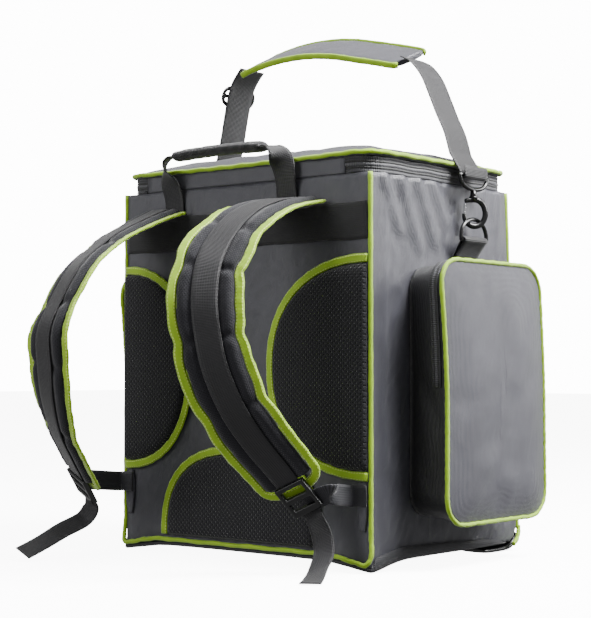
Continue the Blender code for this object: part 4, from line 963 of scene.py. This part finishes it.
strapLook = {
    "spread": 0.112,
    "top": 0.421,
    "drop": 0.323,
    "reach": {"left": 0.1925, "right": 0.1660},
    "padWidth": 0.062,
    "padThickness": 0.013,
    "webbing": 0.030,
    "adjuster": 0.025,
    "webbingThickness": 0.0016,
    "seams": {"left": (0.152, 0.378, 0.596, 0.834), "right": (0.118, 0.263, 0.505, 0.750)},
}
strapLines = {
    # drop, reach, spread, degrees of outward twist
    "right": (
        (0.000, 0.007, 1.00, 0), (0.022, 0.295, 1.00, 4), (0.060, 0.528, 1.00, 10),
        (0.118, 0.714, 1.00, 17), (0.185, 0.847, 1.00, 24), (0.263, 0.949, 1.01, 30),
        (0.380, 1.002, 1.03, 36), (0.505, 0.979, 1.05, 36), (0.620, 0.920, 1.08, 36),
        (0.750, 0.800, 1.15, 34), (0.860, 0.646, 1.24, 30), (0.940, 0.511, 1.32, 26),
        (1.000, 0.414, 1.38, 22),
    ),
    "left": (
        (0.000, 0.014, 1.00, 0), (0.026, 0.125, 1.00, 3), (0.066, 0.281, 1.00, 6),
        (0.110, 0.442, 1.00, 8), (0.152, 0.561, 1.00, 10), (0.240, 0.754, 1.01, 12),
        (0.378, 0.907, 1.03, 12), (0.480, 0.987, 1.04, 10), (0.596, 0.963, 1.07, 8),
        (0.715, 0.905, 1.13, 14), (0.834, 0.791, 1.22, 20), (0.930, 0.645, 1.31, 22),
        (1.000, 0.529, 1.38, 22),
    ),
}
padHalf = (
    # across and thickness shares of the outer face, from the webbing's channel to the edge
    (0.00, 0.66), (0.22, 0.66), (0.44, 0.66), (0.54, 0.80), (0.64, 0.98), (0.76, 1.06), (0.88, 0.88),
    (0.96, 0.58), (1.00, 0.30),
)


def strapRows(side, sign, steps=8):
    root = -halfDepth - 0.0018 - 2 * gap
    coarse = []
    for drop, reach, spread, twist in strapLines[side]:
        coarse.append([
            bag["harnessShift"] + sign * strapLook["spread"] * spread,
            root - strapLook["reach"][side] * reach,
            strapLook["top"] - strapLook["drop"] * drop,
            drop,
            twist,
        ])
    rows = smoothRows(coarse, steps)
    finished = []
    for row, ahead in zip(rows, headings(rows)):
        out = Vector((0, ahead.z, -ahead.y)).normalized()
        out = Matrix.Rotation(-sign * math.radians(row[4]), 3, ahead) @ out
        finished.append([*row[:3], *out, row[3]])
    return finished


def scallop(side, drop):
    # the sewn seams pull the edges in and the padding swells between them
    near = min(abs(drop - at) for at in strapLook["seams"][side]) * strapLook["drop"]
    return 1.02 - 0.09 * math.exp(-(near / 0.011) ** 2)


def makeShoulderStrap(side, sign):
    rows = strapRows(side, sign)
    half, thick = strapLook["padWidth"] / 2, strapLook["padThickness"] / 2
    outer = [(a * half, b * thick) for a, b in padHalf]
    outer = [(-a, b) for a, b in reversed(outer[1:])] + outer
    inner = [(a * half * 0.995, -thick * (0.35 + 0.6 * (1 - abs(a) ** 4)))
             for a in (1, 0.85, 0.6, 0.3, 0, -0.3, -0.6, -0.85, -1)]
    padRows = []
    for row in rows:
        near = min(abs(row[6] - at) for at in strapLook["seams"][side]) * strapLook["drop"]
        seam = math.exp(-(near / 0.0035) ** 2)
        soft = 1 + 0.05 * noise.noise(Vector((row[2] * 40, sign * 3, 1)))
        padRows.append([*row[:6], scallop(side, row[6]), (1.08 - 0.62 * seam) * soft])
    bm = sweepCloth(padRows, outer + inner)
    ruffle(bm, 0.6, 9, 2 + sign)
    finishPiece("shoulderPad" + side.title(), bm, strapMesh, ["shoulder_pad_" + side], 1)

    places = placesAlong([row[:6] for row in rows])
    reach = half + gap * 2 + backLook["bindingWidth"] / 2
    edge, other = [], []
    for (turn, _), row in zip(places, rows):
        out = reach * scallop(side, row[6])
        edge.append([*(turn @ Vector((out, 0, 0))), *turn.col[1].xyz])
        other.append([*(turn @ Vector((-out, 0, 0))), *turn.col[1].xyz])
    last = places[-1][0]
    turned = []
    for angle in range(15, 180, 15):
        turn = math.radians(angle)
        turned.append([
            *(last @ Vector((reach * math.cos(turn), 0, -reach * 0.42 * math.sin(turn)))), *last.col[1].xyz
        ])
    loop = edge + turned + list(reversed(other))
    loop = [row + [1 + 0.06 * math.sin(i * 1.1), 1 + 0.15 * math.sin(i * 1.9)] for i, row in enumerate(loop)]
    bm = sweepCloth(loop, stripSection(backLook["bindingWidth"], backLook["bindingThickness"]))
    ruffle(bm, 0.4, 6, 6)
    finishPiece("shoulderBinding" + side.title(), bm, flatBinding, ["shoulder_binding_" + side])

    lift = thick * 0.70 + gap * 5 + strapLook["webbingThickness"] / 2
    band = [[*(turn @ Vector((0, lift, 0))), *turn.col[1].xyz, 1, 1] for turn, _ in places[1:]]
    bm = sweepCloth(band, stripSection(strapLook["webbing"], strapLook["webbingThickness"]))
    finishPiece("shoulderWebbing" + side.title(), bm, webbing, ["shoulder_webbing_" + side])
    makeAdjuster(side, sign, last, Vector(band[-1][:3]))


buckleLook = {
    "width": 0.040,
    "length": 0.042,
    "thickness": 0.007,
    "columns": (-0.5, -0.375, -0.125, 0.125, 0.375, 0.5),
    "rows": (-0.50, -0.36, -0.10, 0.06, 0.30, 0.50),
}


tab = {"width": 0.016, "thickness": 0.0026, "foot": 0.038, "length": 0.056, "exit": 0.079}


def makeAdjuster(side, sign, last, start):
    across, out, back = [column.xyz.normalized() for column in last.col[:3]]
    along = -back
    middle = start + along * (buckleLook["length"] / 2 + gap * 2)
    turn = Matrix((across, out, -along)).transposed().to_4x4()
    turn.translation = middle
    columns = buckleLook["columns"]
    bm = bmesh.new()
    grid = [[bm.verts.new((x * buckleLook["width"], 0, -y * buckleLook["length"])) for x in columns]
            for y in buckleLook["rows"]]
    for j in range(len(grid) - 1):
        for i in range(len(columns) - 1):
            if not (j in (1, 3) and 0 < i < 4):
                bm.faces.new((grid[j][i], grid[j][i + 1], grid[j + 1][i + 1], grid[j + 1][i]))
    grown = bmesh.ops.extrude_face_region(bm, geom=list(bm.faces), use_keep_orig=True)["geom"]
    raised = [item for item in grown if isinstance(item, bmesh.types.BMVert)]
    bmesh.ops.translate(bm, vec=(0, buckleLook["thickness"], 0), verts=raised)
    bmesh.ops.translate(bm, vec=(0, -buckleLook["thickness"] / 2, 0), verts=bm.verts)
    bmesh.ops.recalc_face_normals(bm, faces=bm.faces)
    sharp = [e for e in bm.edges if len(e.link_faces) == 2 and e.calc_face_angle(0) > 1.0]
    bmesh.ops.bevel(bm, geom=sharp, offset=0.0013, affect="EDGES", segments=2, profile=0.5, material=-1)
    for vert in bm.verts:
        low = max(-vert.co.z / buckleLook["length"] - 0.25, 0.0)
        vert.co.y += 0.05 * low * low * buckleLook["length"] * 4
    bmesh.ops.transform(bm, matrix=turn, verts=bm.verts)
    finishPiece("ladderBuckle" + side.title(), bm, plastic, ["ladder_buckle_" + side], 1)

    half = halfWidth
    tabY = -halfDepth - gap - tab["thickness"] / 2
    tabX = sign * (half - seamInset - tab["width"] / 2)
    rows = [[tabX, tabY, tab["foot"] + tab["length"] * share, 0, -1, 0, wide, 1]
            for share, wide in ((0, 0.5), (0.3, 0.85), (0.7, 1.0), (1, 0.7))]
    bm = sweepCloth(smoothRows(rows, 5), stripSection(tab["width"], tab["thickness"]))
    ruffle(bm, 0.5, 9, 1)
    finishPiece("cornerTab" + side.title(), bm, nylon, ["corner_tab_" + side])

    rest = middle - out * (buckleLook["thickness"] / 2 + 0.0008 + gap * 2)
    rest += along * buckleLook["length"] * 0.33
    outerWay = across if across.x * sign > 0 else -across
    entry = rest + outerWay * (buckleLook["width"] / 2 + 0.010)
    innerX, outerX = half - seamInset - tab["width"], half + 2 * gap
    leaveX = innerX if side == "right" else outerX
    startX = outerX - 0.004 if side == "right" else innerX + 0.001
    y = tabY - tab["thickness"] / 2 - 0.0008 - gap * 3
    anchor = Vector((sign * startX, y, tab["exit"]))
    leave = Vector((sign * leaveX, y, tab["exit"]))
    bend = leave + (leave - anchor).normalized() * 0.004 + Vector((0, -0.006, 0))
    span = [anchor, leave, bend, bend.lerp(entry, 0.6), entry, rest]
    rows = [[*place, *Vector((0, 0, 1)).cross(way), 1, 1] for place, way in zip(span, headings(span))]
    facing = math.copysign(1, (rest - entry).normalized().cross(out).z)
    for row in rows[-2:]:
        row[3:6] = list(out * facing)
    bm = sweepCloth(smoothRows(rows, 6), stripSection(strapLook["adjuster"], strapLook["webbingThickness"]))
    finishPiece("lowerWebbing" + side.title(), bm, grayWebbing, ["lower_webbing_" + side])

    base = middle + along * (buckleLook["length"] / 2 + gap * 3)
    rows = [[*base, *out, 1, 1], [*(base + along * 0.004), *out, 1, 1]]
    for outward, rearward, height, nx, ny, nz in tailTurns[side]:
        level = base.z * height - 0.009 * (1 - height)  # the floor is 9 mm under the origin
        rows.append([base.x + sign * outward, base.y - rearward, level, sign * nx, ny, nz, 1, 1])
    bm = sweepCloth(smoothRows(rows, 6), stripSection(strapLook["adjuster"], strapLook["webbingThickness"]))
    finishPiece("adjusterTail" + side.title(), bm, webbing, ["adjuster_tail_" + side])


tailTurns = {
    "right": (
        # outward, rearward, height, face direction
        (0.003, -0.005, 0.88, 0.2, -1.0, -0.4),
        (0.010, -0.008, 0.62, 0.4, -1.0, 0.0),
        (0.018, -0.002, 0.36, 0.4, -1.0, 0.3),
        (0.026, 0.018, 0.15, 0.1, -0.7, 0.8),
        (0.040, 0.044, 0.045, 0.0, -0.2, 1.0),
        (0.055, 0.068, 0.030, 0.0, 0.0, 1.0),
    ),
    "left": (
        (0.001, -0.006, 0.82, -0.1, -1.0, -0.5),
        (0.004, 0.004, 0.62, -0.3, -0.9, 0.2),
        (0.007, 0.036, 0.46, -0.5, -0.6, 0.6),
        (0.009, 0.068, 0.28, -0.5, -0.4, 0.8),
        (0.010, 0.098, 0.14, -0.5, -0.3, 0.8),
    ),
}

for side, sign in sides.items():
    makeShoulderStrap(side, sign)
print("shoulder straps made")


# ---- carry strap, hooks and rings

carryLook = {
    "middle": 0.030,
    "webbing": 0.050,
    "thickness": 0.0016,
    "rise": 0.200,
    "level": 0.462,
    "padWidth": 0.062,
    "padThickness": 0.008,
    "tilt": 26.0,
    "wire": 0.0026,
    "stand": 0.016,
    "tabDrop": 0.031,
}
carryRight = ((1.015, 0.060), (0.985, 0.140), (0.944, 0.275), (0.884, 0.400), (0.832, 0.520), (0.770, 0.650),
              (0.690, 0.745), (0.6125, 0.7888))
carryTop = ((0.610, 0.790), (0.480, 0.826), (0.260, 0.880), (0.060, 0.925), (-0.150, 0.950), (-0.380, 0.948),
            (-0.600, 0.918), (-0.735, 0.880))
carryLeft = ((-0.7375, 0.8770), (-0.825, 0.770), (-0.876, 0.610), (-0.922, 0.400), (-0.975, 0.200),
             (-1.015, 0.060))


def carryPlaces(table):
    half = halfWidth
    return [[half * x, carryLook["middle"], carryLook["level"] + carryLook["rise"] * z] for x, z in table]


def makeCarryPad():
    places = smoothRows(carryPlaces(carryTop), 8)
    count = len(places)
    rows = []
    for i, (place, ahead) in enumerate(zip(places, headings(places))):
        out = Vector((-ahead.z, 0, ahead.x)).normalized()
        if out.z < 0:
            out = -out
        out = Matrix.Rotation(math.radians(carryLook["tilt"]), 3, (1, 0, 0)) @ out
        end = min(i, count - 1 - i) / (count - 1)
        wide = 1 - 0.18 * math.exp(-end / 0.02)
        rows.append([*place, *out, wide, 1])
    half, thick = carryLook["padWidth"] / 2, carryLook["padThickness"] / 2
    section = [(a * half, b * thick) for a, b in (
        (-1, 0), (-0.97, 0.5), (-0.85, 0.85), (-0.6, 1), (-0.3, 1.04), (0, 1.05), (0.3, 1.04), (0.6, 1),
        (0.85, 0.85), (0.97, 0.5), (1, 0), (0.97, -0.5), (0.85, -0.85), (0.6, -1), (0.3, -1), (0, -1),
        (-0.3, -1), (-0.6, -1), (-0.85, -0.85), (-0.97, -0.5))]
    bm = sweepCloth(rows, section)
    ruffle(bm, 0.8, 16, 7)
    finishPiece("carryPad", bm, nylon, ["carry_pad"], 1)
    turns = placesAlong([row[:6] for row in rows])
    for end, way in (("rear", -1), ("front", 1)):
        edge = []
        for row, (turn, _) in zip(rows, turns):
            reach = way * (half + gap * 2 + 0.002) * row[6]
            edge.append([*(turn @ Vector((reach, 0, 0))), *turn.col[1].xyz, 0.002 * 1.05, thick * 1.05])
        bm = sweepCloth(edge, roundSection(1.0, 12))
        ruffle(bm, 0.4, 6, 2)
        finishPiece("carryBinding" + end.title(), bm, flatBinding, ["carry_binding_" + end])


def hookX(sign):
    return sign * (halfWidth + carryLook["stand"])


def facedRows(places):
    # rows for a ribbon that runs in X and Z with its width along Y
    return [[*place, *ahead.cross(Vector((0, 1, 0))), 1, 1] for place, ahead in zip(places, headings(places))]


def makeCarryLeg(side, sign, table):
    line = smoothRows(carryPlaces(table), 6)
    if side == "left":
        line.reverse()
    level, middle = carryLook["level"], carryLook["middle"]
    radius = carryLook["wire"] + 2 * gap + carryLook["thickness"] / 2
    x = hookX(sign)
    places = [[x + sign * 0.9 * radius, middle, level + 2.8 * radius],
              [x + sign * radius, middle, level + 1.4 * radius]]
    for angle in range(10, -200, -20):
        turn = math.radians(angle)
        places.append([x + sign * radius * math.cos(turn), middle, level + radius * math.sin(turn)])
    places.append([x - sign * 1.1 * radius, middle, level + 1.6 * radius])
    places += line[6:]
    bm = sweepCloth(facedRows(places), stripSection(carryLook["webbing"], carryLook["thickness"], 8))
    finishPiece("carryWebbing" + side.title(), bm, webbing, ["carry_webbing_" + side])


hookLook = {
    "loop": 0.017, "height": 0.0325, "width": 0.028, "spine": 0.0036, "turn": 35.0, "post": 0.014,
    "postFoot": 0.0050, "postTop": 0.0036, "collar": 0.0056, "collarHeight": 0.0022, "ring": 0.026,
}
hookLine = (
    # across, height, thickness
    (-0.40, 0.955, 0.75), (-0.14, 1.000, 0.90), (0.14, 1.000, 1.00), (0.40, 0.865, 1.00), (0.54, 0.590, 1.00),
    (0.51, 0.310, 1.00), (0.32, 0.080, 1.00), (0.02, 0.000, 1.00), (-0.27, 0.080, 0.95), (-0.42, 0.290, 0.85),
    (-0.45, 0.480, 0.70),
)


def makeHook(side, sign):
    x, middle, level = hookX(sign), carryLook["middle"], carryLook["level"]
    half = carryLook["webbing"] / 2 + carryLook["wire"] + 7 * gap
    loop = [[x, middle + half * share, level, sign, 0, 0] for share in (-0.97, -0.5, 0, 0.5, 0.97)]
    for angle in (12, 35, 62, 90, 118, 145, 168):
        turn = math.radians(angle)
        low = level - hookLook["loop"] * math.sin(turn) ** 0.8
        loop.append([x, middle + half * math.cos(turn), low, sign, 0, 0])
    bm = sweepCloth(smoothRows(loop, 4, True), roundSection(carryLook["wire"], 10), True)
    top = level - hookLook["loop"]
    low = top - hookLook["post"]
    bmesh.ops.create_cone(
        bm, cap_ends=True, segments=20, radius1=hookLook["postFoot"], radius2=hookLook["postTop"],
        depth=hookLook["post"],
        matrix=Matrix.Translation((x, middle, (top + low) / 2)),
    )
    bmesh.ops.create_cone(
        bm, cap_ends=True, segments=20, radius1=hookLook["collar"], radius2=hookLook["collar"],
        depth=hookLook["collarHeight"],
        matrix=Matrix.Translation((x, middle, low + 0.0045)),
    )
    turn = math.radians(hookLook["turn"])
    across = Vector((sign * math.sin(turn), math.cos(turn), 0))
    out = across.cross(Vector((0, 0, 1)))
    foot = Vector((x, middle, low + 0.0015 - hookLook["height"]))
    rows = []
    for u, v, thick in hookLine:
        place = foot + across * (hookLook["width"] * u) + Vector((0, 0, hookLook["height"] * v))
        rows.append([*place, *out, thick, thick])
    claw = sweepCloth(smoothRows(rows, 5), roundSection(hookLook["spine"], 12))
    mesh = bpy.data.meshes.new("claw")
    claw.to_mesh(mesh)
    claw.free()
    bm.from_mesh(mesh)
    bpy.data.meshes.remove(mesh)
    finishPiece("snapHook" + side.title(), bm, plastic, ["snap_hook_" + side])

    arc = foot.z + hookLook["spine"] + 7 * gap + carryLook["wire"]
    bar = arc - hookLook["ring"]
    half = carryLook["webbing"] / 2 + carryLook["wire"] + 2 * gap
    loop = [[x, middle + half * share, bar, sign, 0, 0] for share in (0.95, 0.5, 0, -0.5, -0.95)]
    for angle in (14, 38, 64, 90, 116, 142, 166):
        turn = math.radians(angle)
        high = bar + hookLook["ring"] * math.sin(turn) ** 0.8
        loop.append([x, middle - half * math.cos(turn), high, sign, 0, 0])
    bm = sweepCloth(smoothRows(loop, 4, True), roundSection(carryLook["wire"], 10), True)
    finishPiece("dRing" + side.title(), bm, plastic, ["d_ring_" + side])

    wrap = carryLook["wire"] + gap + carryLook["thickness"] / 2
    skin = halfWidth + gap * 2 + carryLook["thickness"] / 2
    base = bar - carryLook["tabDrop"]
    places = [[sign * skin, middle, base + carryLook["tabDrop"] * share] for share in (0, 0.30)]
    for angle in range(200, -80, -25):
        turn = math.radians(angle)
        places.append([x + sign * wrap * math.cos(turn), middle, bar + wrap * math.sin(turn)])
    lift = carryLook["thickness"] + gap * 2
    places += [[sign * (skin + lift * 2), middle, base + carryLook["tabDrop"] * 0.40],
               [sign * (skin + lift), middle, base + carryLook["tabDrop"] * 0.08]]
    bm = sweepCloth(facedRows(places), stripSection(carryLook["webbing"], carryLook["thickness"], 8))
    finishPiece("ringTab" + side.title(), bm, webbing, ["ring_tab_" + side])
    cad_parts["hook_gate_" + side].material_slots[0].material = steel


makeCarryPad()
for side, sign in sides.items():
    makeCarryLeg(side, sign, carryRight if side == "right" else carryLeft)
    makeHook(side, sign)
refinedCopy("strapSlider", "strap_slider", plastic, 2, 200)
print("carry strap made")


# ---- camera, floor and lights

floorLevel = -0.0092
cameraLook = {"place": (1.281, -1.597, 0.223), "azimuth": 39.7, "pitch": 2.22, "lens": 91.5}


def makeCamera():
    data = bpy.data.cameras.new("photoCamera")
    data.lens = cameraLook["lens"]
    data.sensor_width = 36
    data.clip_end = 50
    camera = bpy.data.objects.new("photoCamera", data)
    camera.location = cameraLook["place"]
    camera.rotation_euler = (math.radians(90 + cameraLook["pitch"]), 0, math.radians(cameraLook["azimuth"]))
    bpy.context.scene.collection.objects.link(camera)
    bpy.context.scene.camera = camera


def makeFloor():
    bm = bmesh.new()
    bmesh.ops.create_grid(bm, x_segments=1, y_segments=1, size=12)
    bmesh.ops.translate(bm, vec=(0, 0, floorLevel), verts=bm.verts)
    mesh = bpy.data.meshes.new("studioFloor")
    bm.to_mesh(mesh)
    bm.free()
    floor = bpy.data.objects.new("studioFloor", mesh)
    bpy.context.scene.collection.objects.link(floor)
    material, tree = startMaterial("matPaper", 0.9, 0.0, 0.2)
    inputs = tree.nodes["Principled BSDF"].inputs
    inputs["Base Color"].default_value = linearColour("#f7f7f7")
    inputs["Emission Color"].default_value = linearColour("#ffffff")
    inputs["Emission Strength"].default_value = 9.0
    mesh.materials.append(material)
    # the paper is lit for the camera alone, so it casts no light up on the dark cloth
    floor.visible_diffuse = False
    floor.visible_glossy = False


lights = (
    # name, place, aim, size, power
    ("sideKey", (1.10, 0.25, 1.70), (0.2, 0, 0.45), 0.8, 140),
    ("satinSoft", (1.8, 1.6, 1.3), (0.2, 0, 0.45), 1.0, 75),
    ("topSoft", (0.0, -0.2, 2.3), (0, 0, 0.5), 1.4, 36),
    ("cameraFill", (-0.8, -2.6, 1.2), (0, 0, 0.25), 1.6, 46),
)


def makeLights():
    for name, place, aim, size, power in lights:
        data = bpy.data.lights.new(name, "AREA")
        data.size = size
        data.energy = power
        light = bpy.data.objects.new(name, data)
        light.location = place
        light.rotation_euler = (Vector(aim) - Vector(place)).to_track_quat("-Z", "Y").to_euler()
        bpy.context.scene.collection.objects.link(light)
    world = bpy.data.worlds.new("studioWhite")
    bpy.context.scene.world = world
    world.use_nodes = True
    tree = world.node_tree
    sky = tree.nodes["Background"]
    sky.inputs["Color"].default_value = linearColour("#ffffff")
    # the backdrop is white to the camera, and dim as a light, so the dark cloth keeps its depth
    seen = addNode(tree, "LightPath", output="Is Camera Ray")
    strength = addNode(tree, "MapRange", None, {"Value": seen, "To Min": 0.42, "To Max": 14.0})
    tree.links.new(strength, sky.inputs["Strength"])


makeCamera()
makeFloor()
makeLights()
print("studio made")
